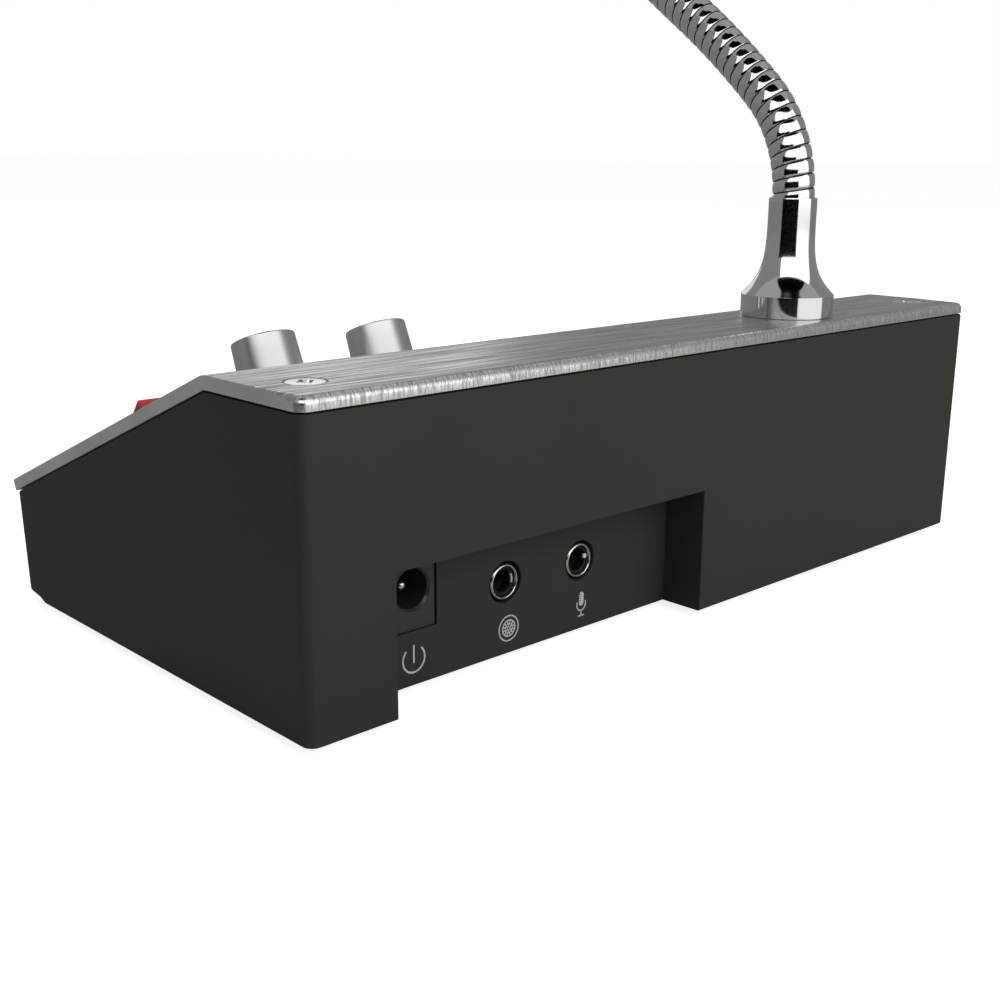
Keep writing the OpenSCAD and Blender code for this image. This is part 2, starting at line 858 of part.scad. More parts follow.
module speaker_jack() {
    jack_body(speaker_jack_x);
}

module speaker_jack_ring() {
    jack_ring(speaker_jack_x);
}

module mic_jack() {
    jack_body(mic_jack_x);
}

module mic_jack_ring() {
    jack_ring(mic_jack_x);
}

sink_x = board_left() + 2*post_r + sink_w/2;
sink_y = board_front_y + sink_d/2 + 2*post_r;

module heat_sink() {
    fin = (sink_w/sink_fins)*sink_fin_share;
    color([0.5, 0.5, 0.52]) translate([sink_x, sink_y, board_top]) {
        translate([0, (sink_d - sink_back)/2, 0]) block(sink_w, sink_back, sink_h);
        for (i = [0:sink_fins - 1]) {
            translate([-sink_w/2 + i*(sink_w - fin)/(sink_fins - 1), -sink_d/2, 0]) {
                cube([fin, sink_d - sink_back + run_gap, sink_h]);
            }
        }
    }
}

module amplifier_chip() {
    color(black_colour) translate([sink_x, sink_y + sink_d/2 + chip_d/2, board_top]) {
        block(chip_w, chip_d, chip_h);
    }
}

function capacitor_x(i) = sink_x + sink_w/2 + capacitor_gap + capacitor_r + i*capacitor_pitch;

module filter_capacitors() {
    color([0.1, 0.12, 0.3]) for (i = [0:2]) {
        translate([capacitor_x(i), 0, board_top]) difference() {
            cylinder(capacitor_h, capacitor_r, capacitor_r);
            translate([0, 0, 2*capacitor_crimp]) rotate_extrude() {
                translate([capacitor_r, 0]) circle(capacitor_crimp, $fn = 16);
            }
        }
    }
}

connector_pitch = (recess_right - board_left())*connector_pitch_share;
function connector_place(i) = [sink_x + sink_w/2 + connector_w + i*connector_pitch,
    board_front_y + connector_d/2 + fit_gap];

module board_connectors() {
    color([0.85, 0.85, 0.8]) for (i = [0:2]) {
        translate(concat(connector_place(i), [board_top])) difference() {
            block(connector_w, connector_d, connector_h);
            translate([0, 0, connector_slot]) {
                block(connector_w - 2*connector_slot, connector_d - 2*connector_slot, connector_h);
            }
        }
    }
}

module control_board() {
    w = control_right() - control_left();
    color(board_colour) difference() {
        on_slope(control_left(), control_front(), control_z - board_t) {
            cube([w, control_front() - control_rear(), board_t]);
        }
        at_control_corners() translate([0, 0, control_z - board_t - over]) {
            cylinder(board_t + 2*over, screw_hole_r, screw_hole_r);
        }
    }
}

module pot_body(x) {
    well = rotor_h + 2*move_gap;
    color([0.25, 0.35, 0.3]) on_slope(x, knob_s) difference() {
        union() {
            translate([0, 0, -pot_h]) block(pot_w, pot_l, pot_h);
            cylinder(plate_t, pot_bush_r, pot_bush_r);
        }
        translate([0, 0, -shaft_tail]) {
            cylinder(shaft_tail + plate_t + over, shaft_r + run_gap, shaft_r + run_gap);
        }
        translate([0, 0, -shaft_tail - move_gap]) {
            cylinder(well, rotor_r + move_gap, rotor_r + move_gap);
        }
    }
}

module pot_shaft(x) {
    l = shaft_tail + plate_t + knob_h - knob_crown;
    color(steel_colour) on_slope(x, knob_s) {
        translate([0, 0, -shaft_tail]) cylinder(l, shaft_r, shaft_r);
        translate([0, 0, -shaft_tail]) cylinder(rotor_h, rotor_r, rotor_r);
    }
}

module knob(x) {
    h = knob_h - knob_lift;
    color(plate_colour) on_slope(x, knob_s, plate_t + knob_lift) difference() {
        rotate_extrude($fn = 64) polygon([
            [0, 0], [knob_r + knob_flare, 0], [knob_r, h - knob_lift/2], [knob_r - knob_lift/2, h], [0, h]]);
        translate([0, 0, -over]) cylinder(h - knob_crown + over, shaft_r + run_gap, shaft_r + run_gap);
        translate([-knob_mark_w/2, -knob_r - over, h - knob_mark_d]) {
            cube([knob_mark_w, knob_r*knob_mark_share + over, knob_mark_d + over]);
        }
    }
}

module speaker_pot() {
    pot_body(knob_x[0]);
}

module mic_pot() {
    pot_body(knob_x[1]);
}

module speaker_pot_shaft() {
    pot_shaft(knob_x[0]);
}

module mic_pot_shaft() {
    pot_shaft(knob_x[1]);
}

module speaker_knob() {
    knob(knob_x[0]);
}

module mic_knob() {
    knob(knob_x[1]);
}

module push_switch(i) {
    color(black_colour) on_slope(button_x[i], button_s, control_z) difference() {
        block(switch_w, switch_w, switch_h);
        translate([0, 0, move_gap]) cylinder(switch_h, stem_r + 2*run_gap, stem_r + 2*run_gap);
    }
}

module push_button(i) {
    top = plate_t + button_h;
    ball = (button_r*button_r + button_dome*button_dome)/(2*button_dome);
    color([0.93, 0.93, 0.9]) on_slope(button_x[i], button_s) {
        translate([0, 0, -move_gap - button_flange_t]) {
            cylinder(button_flange_t, button_r + button_flange, button_r + button_flange);
        }
        translate([0, 0, -move_gap]) cylinder(top - button_dome + move_gap, button_r, button_r);
        translate([0, 0, top - button_dome]) intersection() {
            cylinder(button_dome + over, button_r, button_r);
            translate([0, 0, button_dome - ball]) sphere(ball, $fn = 96);
        }
        translate([0, 0, -move_gap - button_flange_t - stem_l]) cylinder(stem_l, stem_r, stem_r);
    }
}

module push_switch_1() {
    push_switch(0);
}

module push_switch_2() {
    push_switch(1);
}

module push_switch_3() {
    push_switch(2);
}

module push_button_1() {
    push_button(0);
}

module push_button_2() {
    push_button(1);
}

module push_button_3() {
    push_button(2);
}

module rocker_housing() {
    pin = rocker_pin_r + run_gap;
    color(black_colour) on_slope(rocker_x, rocker_s) difference() {
        union() {
            translate([0, 0, plate_t]) block(rocker_frame_w, rocker_frame_l, rocker_lip);
            translate([0, 0, -rocker_body_h]) block(rocker_body_w, rocker_body_l, rocker_body_h + plate_t);
        }
        translate([0, 0, -rocker_well]) {
            block(rocker_open_w, rocker_body_l - 2*fit_gap - tag_t, rocker_well + plate_t);
        }
        block(rocker_open_w, rocker_open_l, plate_t + rocker_lip + over);
        translate([0, 0, rocker_pivot]) rotate([0, 90, 0]) {
            cylinder(rocker_open_w + 2*(rocker_pin_l + run_gap), pin, pin, center = true);
        }
    }
}

module rocker() {
    w = rocker_open_w - 2*move_gap;
    color([0.75, 0.1, 0.1]) on_slope(rocker_x, rocker_s, rocker_pivot) rotate([rocker_tilt, 0, 0]) {
        side_prism([
            [-rocker_half, rocker_top], [-rocker_foot_half, 0], [-rocker_foot_half, -rocker_under],
            [-rocker_pin_r, -rocker_under], [-rocker_pin_r, -rocker_keel], [rocker_pin_r, -rocker_keel],
            [rocker_pin_r, -rocker_under], [rocker_foot_half, -rocker_under], [rocker_foot_half, 0],
            [rocker_half, rocker_top], [0, rocker_valley]
        ], w);
        rotate([0, 90, 0]) {
            cylinder(rocker_open_w + 2*rocker_pin_l, rocker_pin_r, rocker_pin_r, center = true);
        }
    }
}

module rocker_terminals() {
    color([0.8, 0.7, 0.4]) for (side = [-1, 1]) {
        on_slope(rocker_x, rocker_s + side*tag_pitch/2, -rocker_body_h - tag_l) block(tag_w, tag_t, tag_l);
    }
}

module power_led() {
    color([0.7, 0.15, 0.12]) on_slope(rocker_x, led_s) {
        cylinder(plate_t + led_rise - led_r/2, led_r, led_r);
        translate([0, 0, plate_t + led_rise - led_r]) sphere(led_r);
        translate([0, 0, -led_r]) cylinder(led_r, led_r + led_rim, led_r + led_rim);
    }
}

module ballast_bar() {
    color(steel_colour) translate([0, -rear_y + wall_t + column_d + bar_d/2 + bar_gap, cover_top]) {
        block(body_w - 2*bar_in, bar_d, bar_h);
    }
}

module neck_socket() {
    flare = socket_h - socket_flange;
    color(chrome_colour) translate([neck_x, neck_y, strip_top]) difference() {
        union() {
            rotate_extrude($fn = 72) polygon(concat(
                [[0, 0], [socket_r, 0]],
                [for (i = [0:socket_bands]) let (t = i/socket_bands)
                    [socket_top_r + (socket_r - socket_top_r)*pow(1 - t, socket_power),
                     socket_flange + flare*t - (t == 1 ? socket_chamfer : 0)]],
                [[socket_top_r - socket_chamfer, socket_h], [0, socket_h]]));
            translate([0, 0, -shank_l]) cylinder(shank_l + over, shank_r, shank_r);
        }
        translate([0, 0, socket_h - neck_in]) cylinder(neck_in + over, neck_r + run_gap, neck_r + run_gap);
        translate([0, 0, -shank_l - over]) cylinder(shank_l + socket_h, shank_bore_r, shank_bore_r);
    }
}

module socket_nut() {
    color(steel_colour) translate([neck_x, neck_y, plate_z - socket_nut_h]) difference() {
        cylinder(socket_nut_h, socket_nut_r, socket_nut_r, $fn = 6);
        translate([0, 0, -over]) cylinder(socket_nut_h + 2*over, shank_r + run_gap, shank_r + run_gap);
    }
}

// A ring of points round the neck's centre line at the length u
function neck_ring(u, r) = let (p = neck_place(u), a = lean(u)) [
    for (k = [0:ring_sides - 1]) let (t = 360*k/ring_sides)
        [neck_x + r*cos(t), p[0] + r*sin(t)*cos(a), p[1] + r*sin(t)*sin(a)]];

// The faces of a tube whose rings close on themselves, as round a bore
function loop_faces(rings, sides) = [for (i = [0:rings - 1], k = [0:sides - 1])
    let (j = (i + 1) % rings, n = (k + 1) % sides, a = i*sides + k, b = i*sides + n,
        c = j*sides + n, d = j*sides + k)
    each [[a, b, c], [a, c, d]]];

// A ribbed stretch of the neck with its bore. A coned end leaves room for a hinge.
module neck_stretch(from, to, cone_start, cone_end) {
    start = from + (cone_start ? hinge_cut(neck_r) : 0);
    end = to - (cone_end ? hinge_cut(neck_r) : 0);
    bore_start = from + (cone_start ? hinge_cut(neck_bore_r) : 0);
    bore_end = to - (cone_end ? hinge_cut(neck_bore_r) : 0);
    first = floor(start/neck_step) + 1;
    last = ceil(end/neck_step) - 1;
    ribs = [for (i = [first:last]) [i*neck_step, i % 2 == 0 ? neck_r : neck_r - neck_groove]];
    bores = [for (i = [last - bore_every:-bore_every:first + 1]) [i*neck_step, neck_bore_r]];
    stations = concat([[bore_start, neck_bore_r], [start, neck_r - neck_groove]], ribs,
        [[end, neck_r - neck_groove], [bore_end, neck_bore_r]], bores);
    points = [for (s = stations) each neck_ring(s[0], s[1])];
    color(chrome_colour) polyhedron(points, loop_faces(len(stations), ring_sides));
}

module neck_part(i) {
    neck_stretch(hinge_u[i - 1], i < hinge_count ? hinge_u[i] : neck_l, true, i < hinge_count);
}

module neck_stub() {
    neck_stretch(fit_gap, hinge_u[0], false, true);
}

module neck_1() {
    neck_part(1);
}

module neck_2() {
    neck_part(2);
}

module neck_3() {
    neck_part(3);
}

module neck_4() {
    neck_part(4);
}

module neck_5() {
    neck_part(5);
}

module neck_6() {
    neck_part(6);
}

// Puts children at the neck's end, with +Z along the microphone head
module at_head() {
    translate(head_place) rotate([last_lean, 0, 0]) children();
}

module mic_ferrule() {
    color(chrome_colour) at_head() difference() {
        union() {
            translate([0, 0, -neck_in]) cylinder(neck_in, ferrule_r, head_r - mesh_t);
            cylinder(ferrule_nose, head_r - mesh_t, head_r - mesh_t);
        }
        translate([0, 0, -neck_in - over]) cylinder(neck_in + over, neck_r + run_gap, neck_r + run_gap);
        translate([0, 0, -over]) cylinder(ferrule_nose + 2*over, shank_bore_r, shank_bore_r);
    }
}

module mic_housing() {
    color(black_colour) at_head() translate([0, 0, ferrule_nose]) difference() {
        cylinder(head_l, head_r, head_r, $fn = 64);
        translate([0, 0, -over]) cylinder(head_l + 2*over, head_bore_r, head_bore_r, $fn = 64);
        for (i = [0:slot_count - 1]) rotate([0, 0, 360*i/slot_count]) {
            translate([0, -slot_w/2, head_l - slot_back - slot_l]) cube([2*head_r, slot_w, slot_l]);
        }
    }
}

module mic_mesh() {
    r = head_bore_r - run_gap;
    h = slot_l + 2*mesh_back - over;
    color(steel_colour) at_head() translate([0, 0, ferrule_nose + head_l - h - over/2]) difference() {
        cylinder(h, r, r);
        translate([0, 0, -over]) cylinder(h + 2*over, r - mesh_t, r - mesh_t);
    }
}

module mic_cap() {
    color(black_colour) at_head() translate([0, 0, ferrule_nose + head_l]) difference() {
        rotate_extrude($fn = 64) polygon([[0, 0], [head_r, 0], [head_r, cap_t - cap_chamfer],
            [head_r - cap_chamfer, cap_t], [0, cap_t]]);
        for (ring = [0:cap_rings], i = [0:max(6*ring - 1, 0)]) {
            rotate([0, 0, i*60/max(ring, 1)]) translate([ring*cap_pitch, 0, -over]) {
                cylinder(cap_t + 2*over, cap_hole_r, cap_hole_r, $fn = 16);
            }
        }
    }
}

module mic_capsule() {
    color(steel_colour) at_head() translate([0, 0, ferrule_nose + head_l - holder_l]) {
        cylinder(capsule_l, capsule_r, capsule_r);
    }
}

module capsule_holder() {
    r = head_bore_r - mesh_t - 2*run_gap;
    color(black_colour) at_head() translate([0, 0, ferrule_nose + head_l - holder_l]) difference() {
        cylinder(capsule_l - over, r, r);
        translate([0, 0, -over]) cylinder(capsule_l + 2*over, capsule_r + run_gap, capsule_r + run_gap);
    }
}

// The direction of a route at its point i
function route_way(route, i) = let (a = route[max(i - 1, 0)], b = route[min(i + 1, len(route) - 1)])
    (b - a)/norm(b - a);

// A round lead along a route, with flat ends
module lead_tube(route, r) {
    n = len(route);
    rings = [for (i = [0:n - 1]) let (w = route_way(route, i), u0 = cross(w, lead_side_way),
        u = u0/norm(u0), v = cross(w, u))
        each [for (k = [0:lead_sides - 1]) let (t = 360*k/lead_sides) route[i] + r*(u*cos(t) + v*sin(t))]];
    walls = [for (i = [0:n - 2], k = [0:lead_sides - 1]) let (m = (k + 1) % lead_sides,
        a = i*lead_sides + k, b = i*lead_sides + m, c = b + lead_sides, d = a + lead_sides)
        each [[a, c, b], [a, d, c]]];
    foot = [for (k = [1:lead_sides - 2]) [0, k, k + 1]];
    head = [for (k = [1:lead_sides - 2]) let (o = (n - 1)*lead_sides) [o, o + k + 1, o + k]];
    polyhedron(rings, concat(walls, foot, head));
}

module speaker_leads() {
    color([0.6, 0.1, 0.1]) lead_tube(speaker_route, lead_r);
}

module switch_leads() {
    color([0.15, 0.15, 0.15]) lead_tube(switch_route, lead_r);
}

module mic_lead() {
    color([0.35, 0.35, 0.35]) lead_tube(mic_route, mic_lead_r);
}

body_shell();
bottom_cover();
cover_screws();
rubber_feet();
faceplate();
plate_screws();
speaker_basket();
speaker_magnet();
speaker_cone();
speaker_dust_cap();
speaker_gasket();
speaker_nuts();
main_board();
board_screws();
power_jack();
power_jack_pin();
speaker_jack();
speaker_jack_ring();
mic_jack();
mic_jack_ring();
amplifier_chip();
heat_sink();
filter_capacitors();
board_connectors();
control_board();
speaker_pot();
mic_pot();
push_switch_1();
push_switch_2();
push_switch_3();
rocker_housing();
rocker_terminals();
power_led();
ballast_bar();
neck_socket();
socket_nut();
speaker_leads();
switch_leads();
mic_lead();
neck_stub();
speaker_knob();
speaker_pot_shaft();
mic_knob();
mic_pot_shaft();
push_button_1();
push_button_2();
push_button_3();
rocker();
neck_1();
neck_2();
neck_3();
neck_4();
neck_5();
neck_6();
mic_ferrule();
mic_housing();
mic_mesh();
mic_cap();
mic_capsule();
capsule_holder();
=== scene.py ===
"""The looks of a teller window intercom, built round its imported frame.

Each sub-assembly is a class that holds its sizes in millimetres, models its pieces with
Blender's own tools and gives them their finishes. A piece is modelled in millimetres and
then settled into metres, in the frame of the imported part: +X is the user's right, the
sockets face +Y, and +Z is up.
"""

import logging
import math
from collections.abc import Callable, Iterable, Iterator, Sequence
from contextlib import contextmanager
from dataclasses import dataclass, field
from enum import Enum

import bmesh
import bpy
from bpy.types import Material, Node, NodeSocket, NodeTree, Object
from mathutils import Matrix, Vector


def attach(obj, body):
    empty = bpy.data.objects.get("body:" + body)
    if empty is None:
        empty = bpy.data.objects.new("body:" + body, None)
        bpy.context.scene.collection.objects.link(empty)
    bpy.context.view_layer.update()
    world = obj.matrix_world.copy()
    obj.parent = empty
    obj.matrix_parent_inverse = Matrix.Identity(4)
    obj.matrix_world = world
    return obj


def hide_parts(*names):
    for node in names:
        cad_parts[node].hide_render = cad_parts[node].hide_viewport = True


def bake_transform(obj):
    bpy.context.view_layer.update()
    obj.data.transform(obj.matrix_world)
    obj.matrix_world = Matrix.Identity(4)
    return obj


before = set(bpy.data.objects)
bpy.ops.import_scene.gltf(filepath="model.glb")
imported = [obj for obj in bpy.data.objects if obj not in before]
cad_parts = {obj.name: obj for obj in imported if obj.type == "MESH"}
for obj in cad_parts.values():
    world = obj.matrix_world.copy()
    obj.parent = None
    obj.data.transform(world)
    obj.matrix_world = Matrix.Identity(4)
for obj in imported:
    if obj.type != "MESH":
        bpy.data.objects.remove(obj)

LOG = logging.getLogger("intercom")
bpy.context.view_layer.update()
MM = 0.001

# In millimetres: a cutter's reach past what it cuts, the slack of a test for a place, the
# distance at which points merge, and the height of printed ink.
OVER = 0.5
NEAR = 0.01
WELD = 0.0005
INK_HEIGHT = 0.03

Outline = Sequence[tuple[float, float]]
Rgb = tuple[float, float, float]


class Part(Enum):
    """The parts of a mesh that edit mode selects."""

    VERT = "VERT"
    EDGE = "EDGE"
    FACE = "FACE"


class Join(Enum):
    """How one solid is combined with another."""

    CUT = "DIFFERENCE"
    ADD = "UNION"


class Axis(Enum):
    """The axis along which a prism is extruded."""

    X = "X"
    Z = "Z"

    def point(self, a: float, b: float, reach: float) -> Vector:
        """Turns a point of the outline and a length along the axis into a place."""
        return Vector((reach, a, b) if self is Axis.X else (a, b, reach))


# Modelling tools


def bare() -> None:
    """Returns to object mode with nothing selected."""
    if bpy.context.mode != "OBJECT":
        bpy.ops.object.mode_set(mode="OBJECT")
    bpy.ops.object.select_all(action="DESELECT")


def take(piece: Object) -> Object:
    """Makes a piece the only one that is selected.

    Args:
        piece: The piece.

    Returns:
        The same piece.
    """
    bare()
    piece.select_set(True)
    bpy.context.view_layer.objects.active = piece
    return piece


def named(name: str) -> Object:
    """Names the object that was just added, and its mesh.

    Args:
        name: The new name.

    Returns:
        The object.
    """
    piece = bpy.context.object
    piece.name = name
    piece.data.name = name
    return piece


@contextmanager
def editing(piece: Object) -> Iterator[None]:
    """Holds a piece in edit mode.

    Args:
        piece: The piece.

    Yields:
        Nothing, while the mode lasts.
    """
    take(piece)
    bpy.ops.object.mode_set(mode="EDIT")
    try:
        yield
    finally:
        bpy.ops.object.mode_set(mode="OBJECT")


def choose(part: Part, test: Callable) -> int:
    """Selects the parts of the edited mesh that pass a test.

    Args:
        part: What is selected.
        test: Takes a BMesh vertex, edge or face and says whether it is wanted.

    Returns:
        How many parts passed.
    """
    bpy.ops.mesh.select_mode(type=part.value)
    bpy.ops.mesh.select_all(action="DESELECT")
    data = bpy.context.object.data
    mesh = bmesh.from_edit_mesh(data)
    items = {Part.VERT: mesh.verts, Part.EDGE: mesh.edges, Part.FACE: mesh.faces}[part]
    wanted = [item for item in items if test(item)]
    for item in wanted:
        item.select_set(True)
    mesh.select_flush_mode()
    bmesh.update_edit_mesh(data)
    return len(wanted)


def soften(piece: Object, width: float, segments: int, test: Callable) -> None:
    """Rounds the edges of a piece that pass a test.

    Args:
        piece: The piece.
        width: The width of the rounding, in the piece's units.
        segments: Faces across the rounding.
        test: Takes a BMesh edge and says whether it is rounded.
    """
    with editing(piece):
        if choose(Part.EDGE, test):
            bpy.ops.mesh.bevel(offset=width, segments=segments, affect="EDGES")


def sharp(degrees: float = 30) -> Callable:
    """A test for edges whose faces meet at more than an angle."""
    return lambda edge: edge.calc_face_angle(0) > math.radians(degrees)


def between(low: Sequence[float], high: Sequence[float]) -> Callable:
    """Makes a test for edges that lie wholly in a box.

    Args:
        low: The box's lowest corner.
        high: Its highest corner.

    Returns:
        The test.
    """
    return lambda edge: all(
        low[i] - NEAR <= vert.co[i] <= high[i] + NEAR for vert in edge.verts for i in range(3)
    )


def both(first: Callable, second: Callable) -> Callable:
    """A test that asks for two others."""
    return lambda item: first(item) and second(item)


def along(axis: int, least: float) -> Callable:
    """A test for edges that reach further than a length along an axis."""
    return lambda edge: abs(edge.verts[0].co[axis] - edge.verts[1].co[axis]) > least


def loop(name: str, places: Sequence[Sequence[float]], fill: str = "NOTHING") -> Object:
    """Adds a closed line through points.

    Args:
        name: The piece's name.
        places: The points.
        fill: NOTHING to leave it open inside, or NGON to fill it with one face.

    Returns:
        The piece.
    """
    bare()
    bpy.ops.mesh.primitive_circle_add(vertices=len(places), fill_type=fill)
    piece = named(name)
    with editing(piece):
        mesh = bmesh.from_edit_mesh(piece.data)
        for vert, place in zip(mesh.verts, places):
            vert.co = place
        bmesh.update_edit_mesh(piece.data)
    return piece


def strand(name: str, profile: Outline, closed: bool = False) -> Object:
    """Adds a line through points of radius and height.

    Args:
        name: The piece's name.
        profile: The points.
        closed: Whether its last point is joined to its first.

    Returns:
        The piece.
    """
    piece = loop(name, [(radius, 0, height) for radius, height in profile])
    if not closed:
        last = len(profile) - 1
        with editing(piece):
            choose(Part.EDGE, lambda e: {v.index for v in e.verts} == {0, last})
            bpy.ops.mesh.delete(type="EDGE")
    return piece


def prism(name: str, outline: Outline, low: float, high: float, axis: Axis = Axis.X) -> Object:
    """Extrudes an outline into a closed prism.

    Args:
        name: The piece's name.
        outline: The corners, as (Y, Z) along X or (X, Y) along Z.
        low: Where the prism starts along its axis.
        high: Where it ends.
        axis: The axis.

    Returns:
        The piece.
    """
    piece = loop(name, [axis.point(a, b, low) for a, b in outline], "NGON")
    with editing(piece):
        bpy.ops.mesh.select_all(action="SELECT")
        way = axis.point(0, 0, high - low)
        bpy.ops.mesh.extrude_region_move(TRANSFORM_OT_translate={"value": way})
        outwards()
    return piece


def outwards() -> None:
    """Turns the edited mesh's faces outwards."""
    bpy.ops.mesh.select_all(action="SELECT")
    bpy.ops.mesh.normals_make_consistent(inside=False)


def lathe(
    name: str, profile: Outline, steps: int = 64, closed: bool = False, turn: float = 360
) -> Object:
    """Spins a profile round Z into a closed piece.

    Args:
        name: The piece's name.
        profile: Points of radius and height, from the axis to the axis or in a loop.
        steps: Faces round the axis.
        closed: Whether the profile is a loop off the axis.
        turn: The angle that it is spun through, from +X.

    Returns:
        The piece.
    """
    piece = strand(name, profile, closed)
    with editing(piece):
        if turn < 360:
            bpy.ops.mesh.select_all(action="SELECT")
            bpy.ops.mesh.edge_face_add()
        bpy.ops.mesh.select_all(action="SELECT")
        bpy.ops.mesh.spin(
            steps=steps, angle=math.radians(turn), center=(0, 0, 0), axis=(0, 0, -1)
        )
        bpy.ops.mesh.select_all(action="SELECT")
        bpy.ops.mesh.remove_doubles(threshold=WELD)
        outwards()
    return piece


def drum(
    name: str, radius: float, low: float, high: float, sides: int = 48, top: float | None = None
) -> Object:
    """Adds a round bar or a cone on Z.

    Args:
        name: The piece's name.
        radius: Its radius at the low end.
        low: Where it starts.
        high: Where it ends.
        sides: Faces round it.
        top: Its radius at the high end, if that is another.

    Returns:
        The piece.
    """
    bare()
    bpy.ops.mesh.primitive_cone_add(
        vertices=sides,
        radius1=radius,
        radius2=radius if top is None else top,
        depth=high - low,
        location=(0, 0, (low + high) / 2),
    )
    return fixed(named(name))


def box(name: str, low: Sequence[float], high: Sequence[float]) -> Object:
    """Adds a box.

    Args:
        name: The piece's name.
        low: Its lowest corner.
        high: Its highest corner.

    Returns:
        The piece.
    """
    bare()
    middle = [(a + b) / 2 for a, b in zip(low, high)]
    bpy.ops.mesh.primitive_cube_add(size=1, location=middle)
    piece = named(name)
    piece.scale = [b - a for a, b in zip(low, high)]
    return fixed(piece)


def fixed(piece: Object) -> Object:
    """Applies a piece's place, turn and scale to its mesh.

    Args:
        piece: The piece.

    Returns:
        The same piece, at the origin.
    """
    take(piece)
    bpy.ops.object.transform_apply(location=True, rotation=True, scale=True)
    return piece


def moved(piece: Object, place: Matrix) -> Object:
    """Moves a piece's mesh to a place."""
    piece.matrix_world = place @ piece.matrix_world
    return fixed(piece)


def copied(piece: Object, name: str) -> Object:
    """Copies a piece with its own mesh.

    Args:
        piece: The piece.
        name: The copy's name.

    Returns:
        The copy.
    """
    take(piece)
    bpy.ops.object.duplicate(linked=False)
    return named(name)


def joined(name: str, pieces: Sequence[Object]) -> Object:
    """Joins pieces into one.

    Args:
        name: The name of the whole.
        pieces: The pieces.

    Returns:
        The whole.
    """
    take(pieces[0])
    for piece in pieces:
        piece.select_set(True)
    bpy.ops.object.join()
    return named(name)


def repeated(model: Object, name: str, places: Sequence[Matrix]) -> Object:
    """Copies a model to several places, joins the copies, and removes the model.

    Args:
        model: The model.
        name: The name of the whole.
        places: Where the copies go.

    Returns:
        The whole.
    """
    copies = [moved(copied(model, f"{name}_{i}"), place) for i, place in enumerate(places)]
    bpy.data.objects.remove(model)
    return joined(name, copies)


def combine(piece: Object, how: Join, *others: Object) -> Object:
    """Cuts a piece with others, or adds them to it, and removes them.

    Args:
        piece: The piece.
        how: Whether they are cut out or added.
        others: The others.

    Returns:
        The same piece.
    """
    for other in others:
        modifier = piece.modifiers.new(how.name, "BOOLEAN")
        modifier.operation = how.value
        modifier.solver = "EXACT"
        modifier.object = other
        take(piece)
        bpy.ops.object.modifier_apply(modifier=modifier.name)
        bpy.data.objects.remove(other)
    return piece


def shaded(piece: Object, degrees: float = 35) -> Object:
    """Smooths a piece's shading over its shallow edges and keeps its flat faces flat.

    Args:
        piece: The piece.
        degrees: The angle past which an edge stays sharp.

    Returns:
        The same piece.
    """
    take(piece)
    bpy.ops.object.shade_smooth_by_angle(angle=math.radians(degrees))
    modifier = piece.modifiers.new("Weighted", "WEIGHTED_NORMAL")
    modifier.keep_sharp = True
    bpy.ops.object.modifier_apply(modifier=modifier.name)
    return piece


def spot(x: float, y: float, z: float) -> Matrix:
    """A place with no turn."""
    return Matrix.Translation((x, y, z))


def turned(degrees: float, axis: str) -> Matrix:
    """A turn about an axis through the origin."""
    return Matrix.Rotation(math.radians(degrees), 4, axis)


def honeycomb(rings: int, pitch: float) -> list[Matrix]:
    """Works out the places of rings of holes, with six more holes in each ring.

    Args:
        rings: How many rings there are, with the single hole in the middle.
        pitch: The distance from ring to ring.

    Returns:
        The places.
    """
    return [
        turned(60 * i / max(ring, 1), "Z") @ spot(ring * pitch, 0, 0)
        for ring in range(rings)
        for i in range(max(6 * ring, 1))
    ]


def arc(radius: float, angles: Iterable[float], x: float = 0, y: float = 0) -> Outline:
    """The points at some angles, in degrees, of a circle round (x, y)."""
    turns = [math.radians(angle) for angle in angles]
    return [(x + radius * math.cos(turn), y + radius * math.sin(turn)) for turn in turns]


# Finishes


def feed(node: Node, inputs: dict[str | int, object]) -> Node:
    """Gives a node's sockets their values, or links them to the outputs that are given.

    Args:
        node: The node.
        inputs: The values or outputs, by the sockets' names or numbers.

    Returns:
        The same node.
    """
    for key, value in inputs.items():
        if isinstance(value, NodeSocket):
            node.id_data.links.new(value, node.inputs[key])
        else:
            node.inputs[key].default_value = value
    return node


def shader(tree: NodeTree, kind: str, inputs: dict[str | int, object], **settings: str) -> Node:
    """Adds a shader node.

    Args:
        tree: The nodes that it joins.
        kind: Its type.
        inputs: The values of its sockets, or the outputs that feed them.
        settings: Its other settings.

    Returns:
        The node.
    """
    node = tree.nodes.new(kind)
    for key, value in settings.items():
        setattr(node, key, value)
    return feed(node, inputs)


def blank_material(name: str, inputs: dict[str | int, object]) -> Material:
    """Makes a material and sets its surface.

    Args:
        name: Its name.
        inputs: The values of its surface's sockets.

    Returns:
        The material.
    """
    material = bpy.data.materials.new(name)
    material.use_nodes = True
    feed(material.node_tree.nodes["Principled BSDF"], inputs)
    return material


@dataclass(frozen=True)
class Marks:
    """One layer of fine marks.

    Args:
        across: How many marks there are in a metre along each axis.
        detail: How rough the marks themselves are.
        depth: How deep they are, in millimetres.
        contrast: The range of the noise that is spread from none to full.
    """

    across: tuple[float, float, float]
    detail: float = 3
    depth: float = 0.0
    contrast: tuple[float, float] = (0.3, 0.7)

    def noise(self, tree: NodeTree, place: NodeSocket) -> NodeSocket:
        """Adds the marks' noise.

        Args:
            tree: The nodes that it joins.
            place: What gives the place that it is read at.

        Returns:
            The output that holds the noise.
        """
        scaled = shader(tree, "ShaderNodeMapping", {"Vector": place, "Scale": self.across})
        noise = shader(
            tree,
            "ShaderNodeTexNoise",
            {"Vector": scaled.outputs["Vector"], "Scale": 1, "Detail": self.detail},
        )
        return noise.outputs["Fac"]


